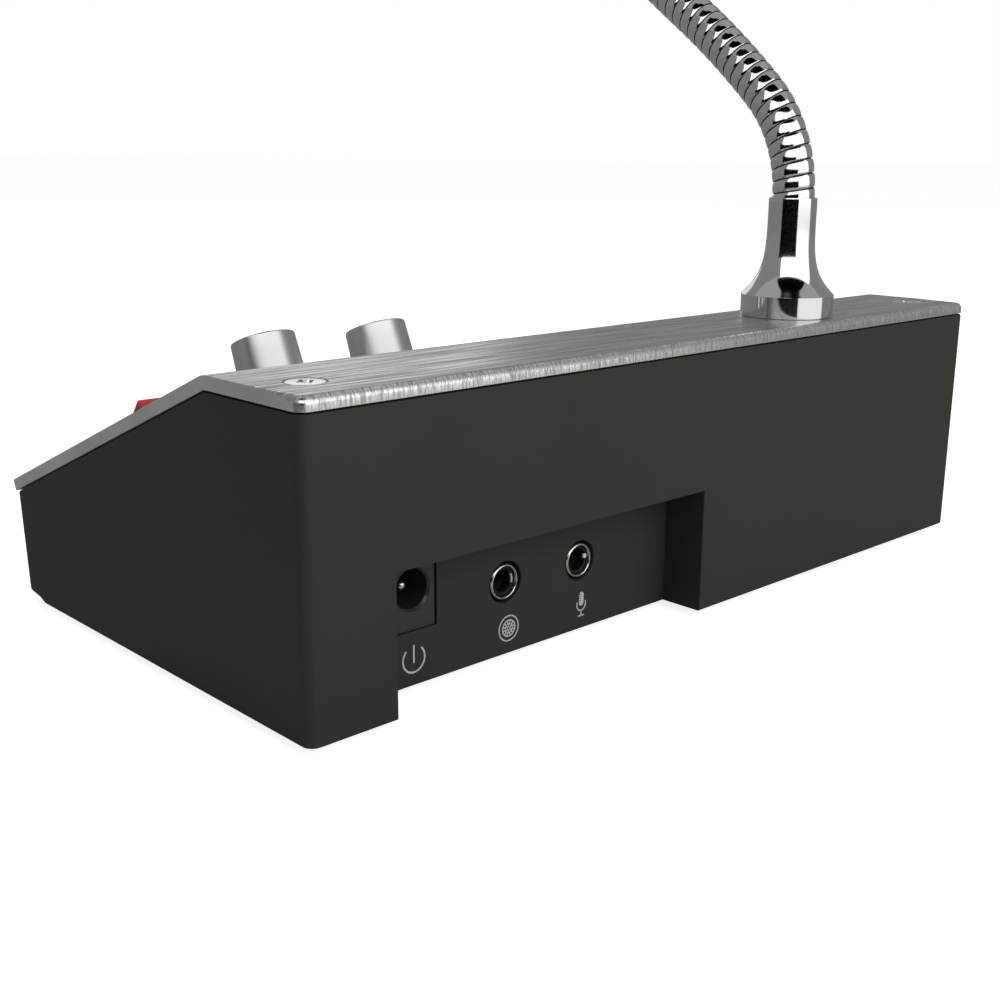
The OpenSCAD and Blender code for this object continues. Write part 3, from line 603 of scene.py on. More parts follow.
def even(across: float, detail: float, depth: float = 0.0) -> Marks:
    """Marks that are as long as they are wide."""
    return Marks((across, across, across), detail, depth)


@dataclass(frozen=True)
class Finish:
    """How a surface looks.

    Args:
        name: The finish's name.
        tones: The two colours that its tone marks mix.
        roughness: The two roughnesses that they mix.
        tone: The marks that mix the tones.
        grain: The marks that stand out of the surface or are cut into it.
        metallic: 1 for bare metal.
        coat: The weight of a clear coat.
        specular: The strength of the reflection of a surface that isn't metal.
        coat_roughness: The roughness of the clear coat.
    """

    name: str
    tones: tuple[Rgb, Rgb]
    roughness: tuple[float, float]
    tone: Marks
    grain: Marks
    metallic: float = 0.0
    coat: float = 0.0
    specular: float = 0.5
    coat_roughness: float = 0.06

    def material(self) -> Material:
        """Makes the material, or finds the one that was made before.

        Returns:
            The material.
        """
        found = bpy.data.materials.get(self.name)
        if found:
            return found
        material = blank_material(self.name, {
            "Metallic": self.metallic,
            "Coat Weight": self.coat,
            "Coat Roughness": self.coat_roughness,
            "Specular IOR Level": self.specular,
        })
        tree = material.node_tree
        place = self.place(tree)
        low, high = self.tone.contrast
        tone = self.tone.noise(tree, place)
        spread = shader(
            tree, "ShaderNodeMapRange", {"Value": tone, "From Min": low, "From Max": high}
        ).outputs["Result"]
        dark, light = ((*tone, 1) for tone in self.tones)
        mix = shader(
            tree, "ShaderNodeMix", {"A": dark, "B": light, "Factor": spread}, data_type="RGBA"
        )
        first, last = self.roughness
        rough = shader(
            tree, "ShaderNodeMapRange", {"Value": spread, "To Min": first, "To Max": last}
        )
        height = self.grain.noise(tree, place)
        depth = self.grain.depth * MM
        bump = shader(
            tree, "ShaderNodeBump", {"Strength": 1, "Distance": depth, "Height": height}
        )
        feed(tree.nodes["Principled BSDF"], {
            "Base Color": mix.outputs["Result"],
            "Roughness": rough.outputs["Result"],
            "Normal": bump.outputs["Normal"],
        })
        return material

    def place(self, tree: NodeTree) -> NodeSocket:
        """Adds what gives the place that the marks are read at."""
        return shader(tree, "ShaderNodeTexCoord", {}).outputs["Object"]


@dataclass(frozen=True)
class TurnedFinish(Finish):
    """A finish whose marks run round an axis, as on a part from the lathe.

    Args:
        centre: A point on the axis, in metres.
        lean: The axis' turn from +Z about X, in degrees.
    """

    centre: tuple[float, float, float] = (0, 0, 0)
    lean: float = 0

    def place(self, tree: NodeTree) -> NodeSocket:
        """Adds what gives the radius and the height on the axis as a place.

        Args:
            tree: The nodes that it joins.

        Returns:
            The output that holds the place.
        """
        start, turn = super().place(tree), (-math.radians(self.lean), 0, 0)
        shift = shader(
            tree, "ShaderNodeMapping", {"Vector": start, "Location": [-c for c in self.centre]}
        )
        upright = shader(
            tree, "ShaderNodeMapping", {"Vector": shift.outputs["Vector"], "Rotation": turn}
        ).outputs["Vector"]
        flat = shader(
            tree, "ShaderNodeVectorMath", {0: upright, 1: (1, 1, 0)}, operation="MULTIPLY"
        )
        radius = shader(
            tree, "ShaderNodeVectorMath", {0: flat.outputs["Vector"]}, operation="LENGTH"
        ).outputs["Value"]
        height = shader(tree, "ShaderNodeSeparateXYZ", {"Vector": upright}).outputs["Z"]
        place = shader(tree, "ShaderNodeCombineXYZ", {"X": radius, "Z": height})
        return place.outputs["Vector"]


CLOUDS = even(45, 2)
FINE = even(1400, 3, 0.004)


def plain(
    name: str,
    colour: Rgb,
    roughness: float,
    metallic: float = 0.0,
    spread: float = 0.12,
    grain: Marks = FINE,
    tone: Marks = CLOUDS,
    coat: float = 0.0,
    specular: float = 0.5,
) -> Finish:
    """Makes a finish of one colour that varies a little.

    Args:
        name: The finish's name.
        colour: The colour.
        roughness: The roughness.
        metallic: 1 for bare metal.
        spread: The share by which the colour and the roughness vary.
        grain: The marks in the surface.
        tone: The marks that vary the colour.
        coat: The weight of a clear coat.
        specular: The strength of its reflection.

    Returns:
        The finish.
    """
    less, more = 1 - spread, 1 + spread
    tones = tuple(c * less for c in colour), tuple(min(c * more, 1) for c in colour)
    rough = roughness * less, min(roughness * more, 1)
    return Finish(name, tones, rough, tone, grain, metallic, coat, specular)


CASING = plain(
    "casing_moulded", (0.029, 0.029, 0.0228), 0.55, spread=0.06, specular=0.3,
    grain=even(2600, 2, 0.004),
)
BRUSHED = Finish(
    "plate_brushed",
    ((0.32, 0.325, 0.315), (0.62, 0.63, 0.61)),
    (0.46, 0.25),
    Marks((50, 1700, 1700), 5, contrast=(0.37, 0.63)),
    Marks((140, 4400, 4400), 3, 0.014),
    metallic=1.0,
)
CUT_EDGE = plain("plate_cut_edge", (0.62, 0.63, 0.61), 0.5, 1.0, 0.1, even(1500, 3, 0.006))
REAR_EDGE = Finish(
    "plate_rear_edge",
    ((0.42, 0.43, 0.42), (0.9, 0.91, 0.9)),
    (0.38, 0.2),
    Marks((3000, 700, 500), 4, contrast=(0.38, 0.6)),
    Marks((3400, 900, 500), 3, 0.02),
    metallic=1.0,
)
CHROME = plain("chrome_plated", (0.62, 0.635, 0.64), 0.09, 1.0, 0.04, even(900, 3, 0.0012))
# Painted shade: near-black for the faces deep in the neck's grooves, so they read as shaded lines.
GROOVE_SHADE = plain("groove_painted_shade", (0.05, 0.05, 0.052), 0.6, 1.0)
NICKEL = plain("socket_nickel", (0.62, 0.6, 0.57), 0.22, 1.0, grain=even(1400, 3, 0.003))
SCREW_STEEL = plain("screw_zinc", (0.8, 0.81, 0.82), 0.24, 1.0, 0.12)
STEEL_GRAIN = Marks((300, 2200, 2200), 3, 0.005)
STEEL = plain("plain_steel", (0.42, 0.42, 0.43), 0.42, 1.0, 0.15, STEEL_GRAIN)
SOCKET_BLACK = plain("socket_black", (0.012, 0.012, 0.014), 0.16, spread=0.2, coat=0.3)
PART_BLACK = plain("part_black", (0.022, 0.022, 0.023), 0.45)
HOUSING_BLACK = plain(
    "housing_paint", (0.02, 0.02, 0.022), 0.34, coat=0.2, grain=even(3000, 2, 0.005)
)
RUBBER = plain("foot_rubber", (0.018, 0.018, 0.018), 0.8, grain=even(1800, 4, 0.02))
BUTTON_WHITE = plain("button_white", (0.82, 0.82, 0.78), 0.3, spread=0.03, coat=0.15)
ROCKER_RED = plain("rocker_red", (0.46, 0.03, 0.022), 0.28, spread=0.08, coat=0.25)
LAMP_RED = plain("lamp_red", (0.42, 0.015, 0.012), 0.08, spread=0.1, coat=0.6)
INK = plain("legend_ink", (0.62, 0.62, 0.6), 0.6, spread=0.08, tone=even(1400, 4))
# Painted highlight: a pale finish for the small pieces inside the round sockets that stand in for
# glints.
PAINTED_GLINT = plain("jack_painted_glint", (0.85, 0.84, 0.8), 0.35, spread=0.05)
JACK_BLACK = plain("jack_black", (0.006, 0.006, 0.007), 0.55, specular=0.2)
PAPER = plain("cone_paper", (0.02, 0.02, 0.022), 0.85, grain=even(1600, 5, 0.03))
BOARD = plain("board_mask", (0.012, 0.09, 0.035), 0.28, spread=0.2, tone=even(700, 4))
POT_CASE = plain("pot_case", (0.03, 0.09, 0.06), 0.4)
SLEEVE = plain("capacitor_sleeve", (0.015, 0.02, 0.09), 0.22, coat=0.2)
NYLON = plain("connector_nylon", (0.62, 0.58, 0.44), 0.42, spread=0.06)
BRASS = plain("terminal_brass", (0.62, 0.42, 0.16), 0.34, 1.0, 0.15)
FERRITE = plain("magnet_ferrite", (0.04, 0.04, 0.042), 0.6, grain=even(1400, 5, 0.02))
LEAD_RED = plain("lead_red", (0.3, 0.012, 0.01), 0.42)
LEAD_BLACK = plain("lead_black", (0.015, 0.015, 0.015), 0.42)
LEAD_GREY = plain("lead_grey", (0.1, 0.1, 0.1), 0.5)
WIRE_MESH = Finish(
    "mesh_woven",
    ((0.02, 0.02, 0.02), (0.34, 0.34, 0.35)),
    (0.6, 0.35),
    Marks((2600, 2600, 2600), 0, contrast=(0.45, 0.55)),
    even(2600, 0, 0.05),
    metallic=1.0,
)


def dress(piece: Object, *finishes: Finish) -> None:
    """Gives a piece its finishes, one to each material slot.

    Args:
        piece: The piece.
        finishes: The finishes.
    """
    piece.data.materials.clear()
    for finish in finishes:
        piece.data.materials.append(finish.material())


def paint(piece: Object, slot: int, test: Callable) -> None:
    """Gives the faces that pass a test the finish of a material slot.

    Args:
        piece: The piece.
        slot: The material slot's number.
        test: Takes a BMesh face and says whether it is painted.
    """
    with editing(piece):
        if choose(Part.FACE, test):
            piece.active_material_index = slot
            bpy.ops.object.material_slot_assign()


def install(piece: Object, body: str, slot: str | None, *nodes: str) -> Object:
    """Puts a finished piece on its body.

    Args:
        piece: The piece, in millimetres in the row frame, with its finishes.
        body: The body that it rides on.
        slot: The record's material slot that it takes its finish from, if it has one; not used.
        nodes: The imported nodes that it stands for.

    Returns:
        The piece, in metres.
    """
    moved(piece, Matrix.Scale(MM, 4))
    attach(piece, body)
    if nodes:
        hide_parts(*nodes)
    LOG.info("%s: %d faces on %s", piece.name, len(piece.data.polygons), body)
    return piece


def settle(
    piece: Object, place: Matrix, finish: Finish, body: str, slot: str | None, *nodes: str
) -> Object:
    """Moves a piece to its place, smooths and dresses it, and installs it."""
    dress(shaded(moved(piece, place)), finish)
    return install(piece, body, slot, *nodes)


# The sub-assemblies


@dataclass(frozen=True)
class Plan:
    """The sizes that the sub-assemblies share, in millimetres."""

    half_width: float = 86
    rear: float = 44.4
    foot: float = 1.2
    plate_under: float = 48
    fold: float = 21.3
    front: float = -45.8
    front_top: float = 20.6
    plate: float = 2.1
    recess_right: float = 70.5
    recess_left: float = 1.5
    recess_top: float = 23.35
    recess_wall: float = 36
    corner: float = 1.8
    corner_steps: int = 7
    board_top: float = 9.97
    jacks: tuple[tuple[str, float], ...] = (("speaker_jack", 41.4), ("mic_jack", 24.0))
    jack_axis: float = 3.5
    power_x: float = 60.7
    screw_x: float = 78.3
    screw_rear: float = 34.9
    screw_front: float = -37.8
    screw_up_slope: float = 8
    cover_screw_in: float = 0.3
    neck: tuple[float, float] = (-37, 32.6)

    @property
    def slope(self) -> float:
        """The slope's angle in degrees."""
        return math.degrees(
            math.atan2(self.plate_under - self.front_top, self.fold - self.front)
        )

    @property
    def slope_length(self) -> float:
        """The length of the slope, along the plate's underside."""
        return math.hypot(self.plate_under - self.front_top, self.fold - self.front)

    def on_slope(self, x: float, s: float, h: float = 0) -> Matrix:
        """The place a length below the fold and a height over the plate's underside."""
        return spot(x, self.fold, self.plate_under) @ turned(self.slope, "X") @ spot(0, -s, h)

    def facing_out(self, x: float, z: float, set_in: float = 0) -> Matrix:
        """A place in the recess wall with +Z out of it and +Y up."""
        return spot(x, self.recess_wall - set_in, z) @ turned(180, "Z") @ turned(90, "X")

    def plate_screws(self) -> list[Matrix]:
        """Works out the places of the face plate's screws.

        Returns:
            The places, with +Z out of the plate.
        """
        top, down = self.plate_under + self.plate, self.slope_length - self.screw_up_slope
        return [
            place
            for x in (-self.screw_x, self.screw_x)
            for place in (spot(x, self.screw_rear, top), self.on_slope(x, down, self.plate))
        ]

    def cover_screws(self) -> list[Matrix]:
        """Works out the places of the bottom cover's screws.

        Returns:
            The places, with +Z down.
        """
        return [
            spot(x, y, self.foot + self.cover_screw_in) @ turned(180, "X")
            for x in (-self.screw_x, self.screw_x)
            for y in (self.screw_rear, self.screw_front)
        ]


PLAN = Plan()


@dataclass
class Screws:
    """The casing's countersunk screws."""

    shank: float = 1.45
    head: float = 2.9
    head_height: float = 1.5
    length: float = 8
    clearance: float = 0.075
    flat: float = 1.6
    tip: float = 1
    cross: tuple[float, float, float] = (3.0, 0.62, 0.95)
    cross_point: tuple[float, float] = (0.2, 1.25)
    rim: float = 0.22

    def screw(self) -> Object:
        """Models one screw with its crossed recess.

        Returns:
            The screw, under the origin.
        """
        body = lathe("screw", [
            (0, 0.02), (self.flat, 0.02), (self.head - 0.12, -0.04), (self.head, -0.16),
            (self.shank, -self.head_height), (self.shank, self.tip - self.length),
            (0, -self.length),
        ], 40)
        length, width, depth = self.cross
        for turn in (0, 90):
            slot = box("slot", (-length / 2, -width / 2, -depth), (length / 2, width / 2, OVER))
            combine(body, Join.CUT, moved(slot, turned(turn, "Z")))
        end, mouth = self.cross_point
        return combine(body, Join.CUT, drum("point", end, -depth - 0.5, 0.3, 16, mouth))

    def hole(self, length: float) -> Object:
        """Models the cutter of one screw's hole, with a narrow bright rim.

        Args:
            length: How deep it cuts.

        Returns:
            The cutter, under the origin.
        """
        head, shank = self.head + self.clearance, self.shank + 0.05
        return lathe("hole", [
            (0, OVER), (head + self.rim, OVER), (head + self.rim, 0.001), (head, -0.2),
            (shank, -self.head_height - self.clearance), (shank, -length), (0, -length),
        ], 48)

    def build(self) -> None:
        """Fits the screws of the face plate and of the bottom cover."""
        for name, places, node in (
            ("plate_screw_set", PLAN.plate_screws(), "plate_screws"),
            ("cover_screw_set", PLAN.cover_screws(), "cover_screws"),
        ):
            screws = shaded(repeated(self.screw(), name, places))
            dress(screws, SCREW_STEEL)
            install(screws, "base", "screw_steel", node)


@dataclass
class Casing:
    """The moulded casing with its cable recess."""

    wall: float = 2.5
    toe: float = 6.9
    toe_rise: float = 1.4
    toe_bend_share: float = 0.72
    gap: float = 0.3
    least_upright: float = 12
    column: float = 10.2
    column_depth: float = 12
    column_foot: float = 2.3
    column_drop: float = 1
    front_column_top: float = 21
    surround_in: float = 1
    hole_radius: float = 3.5
    hole_depth: float = 3
    lead_in: float = 0.15
    power_size: tuple[float, float] = (9.3, 11.15)
    edge_round: float = 0.28
    recess_round: float = 0.22
    screws: Screws = field(default_factory=Screws)

    def outer(self) -> Object:
        """Models the casing's outer form with its rounded corners.

        Returns:
            The solid form.
        """
        body = prism("casing_moulding", [
            (PLAN.rear, PLAN.foot),
            (PLAN.rear, PLAN.plate_under - self.gap),
            (PLAN.fold, PLAN.plate_under - self.gap),
            (PLAN.front, PLAN.front_top - self.gap),
            (-PLAN.rear, PLAN.foot + self.toe_rise),
            (-PLAN.rear + self.toe * self.toe_bend_share, PLAN.foot + self.toe_rise / 2),
            (-PLAN.rear + self.toe, PLAN.foot),
        ], -PLAN.half_width, PLAN.half_width)
        soften(body, PLAN.corner, PLAN.corner_steps, self.upright)
        soften(body, self.edge_round, 2, sharp(22))
        return body

    def upright(self, edge: bmesh.types.BMEdge) -> bool:
        """Whether an edge is one of the four upright corners."""
        middle = (edge.verts[0].co + edge.verts[1].co) / 2
        return along(2, self.least_upright)(edge) and abs(middle.y) > PLAN.rear - 1

    def inner(self) -> Object:
        """Models the cutter of the casing's hollow.

        Returns:
            The cutter.
        """
        rear, front = PLAN.rear - self.wall, PLAN.front + self.wall
        half, top = PLAN.half_width - self.wall, PLAN.plate_under + OVER
        return prism("hollow", [
            (rear, -OVER), (rear, top), (front, top), (front, PLAN.front_top),
            (-rear, PLAN.foot + self.toe_rise), (-rear, -OVER),
        ], -half, half)

    def columns(self) -> list[Object]:
        """Models the four columns that take the screws.

        Returns:
            The columns.
        """
        half = PLAN.half_width - self.wall + OVER
        rear = PLAN.rear - self.wall + OVER - self.column_depth
        front = PLAN.front + self.wall - OVER
        low, slim = PLAN.foot + self.column_foot, half - self.column
        return [
            box("column", (left, y, low), (right, y + self.column_depth, top))
            for left, right in ((-half, -slim), (slim, half))
            for y, top in (
                (rear, PLAN.plate_under - self.column_drop), (front, self.front_column_top),
            )
        ]

    def build(self) -> None:
        """Models the casing and cuts its recess and holes."""
        body = combine(self.outer(), Join.CUT, self.inner())
        combine(body, Join.ADD, *self.columns())
        low = (PLAN.recess_left - self.wall, PLAN.recess_wall - self.wall, PLAN.foot)
        right, rear = PLAN.recess_right + self.wall, PLAN.rear - self.surround_in
        high = (right, rear, PLAN.recess_top + self.wall)
        combine(body, Join.ADD, box("surround", low, high))
        low = (PLAN.recess_left, PLAN.recess_wall, -OVER)
        high = (PLAN.recess_right, PLAN.rear + OVER, PLAN.recess_top)
        combine(body, Join.CUT, box("recess", low, high))
        low = (PLAN.recess_left, PLAN.rear, 2 * PLAN.foot / 3)
        high = (PLAN.recess_right, PLAN.rear, PLAN.recess_top)
        soften(body, self.recess_round, 2, both(sharp(), between(low, high)))
        half, height = self.power_size[0] / 2, self.power_size[1]
        low = (PLAN.power_x - half, PLAN.recess_wall - self.wall - OVER, PLAN.board_top)
        high = (PLAN.power_x + half, PLAN.recess_wall + OVER, PLAN.board_top + height)
        holes = (self.round_hole(x) for _, x in PLAN.jacks)
        combine(body, Join.CUT, box("power_hole", low, high), *holes)
        for place in PLAN.cover_screws():
            combine(body, Join.CUT, moved(self.screws.hole(self.screws.length), place))
        dress(shaded(body), CASING)
        install(body, "base", "casing_plastic", "body_shell")

    def round_hole(self, x: float) -> Object:
        """Models the cutter of a socket's hole, with a small lead-in at its mouth.

        Args:
            x: The place of its axis.

        Returns:
            The cutter, in its place.
        """
        r, mouth, depth = self.hole_radius, self.hole_radius + self.lead_in, self.hole_depth
        cutter = lathe("round_hole", [
            (0, 1), (mouth, 1), (mouth, 0), (r, -self.lead_in), (r, -depth), (0, -depth),
        ], 48)
        place = spot(x, PLAN.recess_wall, PLAN.board_top + PLAN.jack_axis)
        return moved(cutter, place @ turned(-90, "X"))


@dataclass
class FacePlate:
    """The bent aluminium plate."""

    rear_round: float = 1.15
    fold_round: float = 1.0
    edge_round: float = 0.16
    hole_edge: float = 0.12
    knobs: tuple[float, float] = (51.8, 26.7)
    knob_s: float = 34.4
    bush: float = 3.53
    buttons: tuple[float, float, float] = (31, 14.5, -2)
    button_s: float = 16.6
    button_hole: float = 4.8
    rocker_x: float = 76.4
    rocker_s: float = 36.3
    rocker_hole: tuple[float, float] = (8.95, 13.45)
    lamp_s: float = 14
    lamp_hole: float = 1.55
    neck_hole: float = 5.08
    speaker_x: float = -43
    grille_hole: float = 1.1
    grille_pitch: float = 4.6
    rings: int = 4
    screws: Screws = field(default_factory=Screws)

    def blank(self) -> Object:
        """Models the bent sheet with its rounded edges.

        Returns:
            The sheet, without its holes.
        """
        half, rear, under = PLAN.half_width, PLAN.rear, PLAN.plate_under
        top = under + PLAN.plate
        angle = math.radians(PLAN.slope)
        fold_top = PLAN.fold - PLAN.plate * math.tan(angle / 2)
        front_y = PLAN.front - PLAN.plate * math.sin(angle)
        front_z = PLAN.front_top + PLAN.plate * math.cos(angle)
        plate = prism("face_plate_brushed", [
            (rear, under), (rear, top), (fold_top, top), (front_y, front_z),
            (PLAN.front, PLAN.front_top), (PLAN.fold, under),
        ], -half, half)

        def at_rear(edge: bmesh.types.BMEdge) -> bool:
            """Whether an edge lies in the rear face."""
            return all(abs(v.co.y - rear) < NEAR for v in edge.verts)

        def elsewhere(edge: bmesh.types.BMEdge) -> bool:
            """Whether an edge is off the rear's rounding and not wholly underneath."""
            off_rounding = all(v.co.z < top - 0.5 or v.co.y < rear - 2 for v in edge.verts)
            return off_rounding and any(abs(v.co.z - under) > NEAR for v in edge.verts)

        fold = between((-half, fold_top, top), (half, fold_top, top))
        rear_edge = between((-half, rear - PLAN.corner, top), (half, rear, top))
        soften(plate, PLAN.corner, PLAN.corner_steps, both(along(2, 2), at_rear))
        soften(plate, self.fold_round, 4, both(sharp(10), fold))
        soften(plate, self.rear_round, 5, both(sharp(), rear_edge))
        soften(plate, self.edge_round, 2, both(sharp(), elsewhere))
        return plate

    def cutters(self) -> list[Object]:
        """Models the cutters of all the plate's holes.

        Returns:
            The cutters, in their places.
        """
        thick = PLAN.plate
        cutters = [
            moved(self.round_hole(radius), PLAN.on_slope(x, s))
            for radius, x, s in (
                *((self.bush, x, self.knob_s) for x in self.knobs),
                *((self.button_hole, x, self.button_s) for x in self.buttons),
                (self.lamp_hole, self.rocker_x, self.lamp_s),
            )
        ]
        x, y = (size / 2 for size in self.rocker_hole)
        slot = box("rocker_hole", (-x, -y, -OVER), (x, y, thick + OVER))
        cutters.append(moved(slot, PLAN.on_slope(self.rocker_x, self.rocker_s)))
        neck = self.round_hole(self.neck_hole)
        cutters.append(moved(neck, spot(*PLAN.neck, PLAN.plate_under)))
        middle = PLAN.on_slope(self.speaker_x, PLAN.slope_length / 2)
        places = [middle @ place for place in honeycomb(self.rings + 1, self.grille_pitch)]
        cutters.append(repeated(self.round_hole(self.grille_hole, 20), "grille", places))
        for place in PLAN.plate_screws():
            cutters.append(moved(self.screws.hole(thick + 1), place))
        return cutters

    def round_hole(self, radius: float, sides: int = 48) -> Object:
        """Models the cutter of a round hole with a broken edge.

        Args:
            radius: The hole's radius.
            sides: Faces round it.

        Returns:
            The cutter, on Z.
        """
        top, wide = PLAN.plate, radius + self.hole_edge
        return lathe("round_hole", [
            (0, -OVER), (radius, -OVER), (radius, top - self.hole_edge), (wide, top + 0.001),
            (wide, top + OVER), (0, top + OVER),
        ], sides)

    def at_rear_edge(self, face: bmesh.types.BMFace) -> bool:
        """Whether a face is on the rounded rear edge."""
        way, near = face.normal, face.calc_center_median().y > PLAN.rear - 2
        return near and way.y > 0.25 and way.z > -0.5

    def build(self) -> None:
        """Models the plate, paints its edges and cuts its holes."""
        plate = self.blank()
        dress(plate, BRUSHED, CUT_EDGE, REAR_EDGE)
        paint(
            plate, 1,
            lambda f: abs(f.normal.x) > 0.9 or f.normal.z < -0.5 or f.normal.y < -0.8,
        )
        paint(plate, 2, self.at_rear_edge)
        combine(plate, Join.CUT, *self.cutters())
        install(shaded(plate), "base", "plate_aluminium", "faceplate")


@dataclass
class Legends:
    """The printed signs under the sockets, for power, loudspeaker and microphone."""

    z: float = 5.47
    speaker_x: float = 40.7
    mic_x: float = 23.5
    power_ring: tuple[float, float] = (2.0, 2.3)
    power_arc: tuple[float, float] = (134, 272)
    power_bar: tuple[float, float, float] = (0.15, -0.65, 2.3)
    speaker_ring: tuple[float, float] = (2.02, 2.26)
    disc: float = 1.48
    dot: float = 0.215
    dot_pitch: float = 0.54
    capsule: float = 0.55
    capsule_ends: tuple[float, float] = (0.35, 1.75)
    lines: int = 4
    line: tuple[float, float] = (-0.62, 0.05)
    line_low: float = 0.75
    line_pitch: float = 0.36
    line_width: float = 0.12
    cradle: tuple[float, float] = (0.92, 1.17)
    cradle_top: float = 0.55
    stem: tuple[float, float, float] = (0.13, -1.9, -1.05)
    foot: tuple[float, float, float] = (0.75, -2.1, -1.86)
    steps: int = 48

    def band(self, ring: tuple[float, float], start: float, turn: float, steps: int) -> Object:
        """Models an inked ring or a stretch of one.

        Args:
            ring: Its inner and outer radius.
            start: The angle from +X at which it starts, in degrees.
            turn: The angle that it spans.
            steps: Faces along it.

        Returns:
            The band.
        """
        inner, outer = ring
        profile = [(inner, 0), (outer, 0), (outer, INK_HEIGHT), (inner, INK_HEIGHT)]
        return moved(lathe("band", profile, steps, closed=True, turn=turn), turned(start, "Z"))

    def bar(self, left: float, low: float, right: float, high: float) -> Object:
        """Models an inked bar."""
        return box("bar", (left, low, 0), (right, high, INK_HEIGHT))

    def middle_bar(self, half: float, low: float, high: float) -> Object:
        """Models an inked bar in the middle of a sign."""
        return self.bar(-half, low, half, high)

    def power(self) -> Object:
        """Models the open ring with its bar."""
        ring = self.band(self.power_ring, *self.power_arc, self.steps)
        return joined("power_legend", [ring, self.middle_bar(*self.power_bar)])

    def speaker(self) -> Object:
        """Models the dotted disc in its ring.

        Returns:
            The sign.
        """
        disc = drum("disc", self.disc, 0, INK_HEIGHT, 40)
        dot = drum("dot", self.dot, -OVER, OVER, 8)
        combine(disc, Join.CUT, repeated(dot, "dots", honeycomb(3, self.dot_pitch)))
        return joined("speaker_legend", [self.band(self.speaker_ring, 0, 360, self.steps), disc])

    def mic(self) -> Object:
        """Models the lined capsule in its cradle, on its stem and foot.

        Returns:
            The sign.
        """
        r, (low, high) = self.capsule, self.capsule_ends
        outline = [*arc(r, range(0, 181, 20), y=high), *arc(r, range(181, 362, 20), y=low)]
        capsule = prism("capsule", outline, 0, INK_HEIGHT, Axis.Z)
        (left, right), deep = self.line, Matrix.Diagonal((1, 1, 4, 1)) @ spot(0, 0, -NEAR)
        for i in range(self.lines):
            base = self.line_low + self.line_pitch * i
            line = self.bar(left, base, right, base + self.line_width)
            combine(capsule, Join.CUT, moved(line, deep))
        inner, outer = self.cradle
        return joined("mic_legend", [
            capsule,
            self.band(self.cradle, 180, 180, self.steps // 2),
            self.bar(-outer, 0, -inner, self.cradle_top),
            self.bar(inner, 0, outer, self.cradle_top),
            self.middle_bar(*self.stem),
            self.middle_bar(*self.foot),
        ])

    def build(self) -> None:
        """Prints the three signs on the recess wall."""
        for piece, x in (
            (self.power(), PLAN.power_x), (self.speaker(), self.speaker_x),
            (self.mic(), self.mic_x),
        ):
            dress(moved(piece, PLAN.facing_out(x, self.z)), INK)
            install(piece, "base", None)


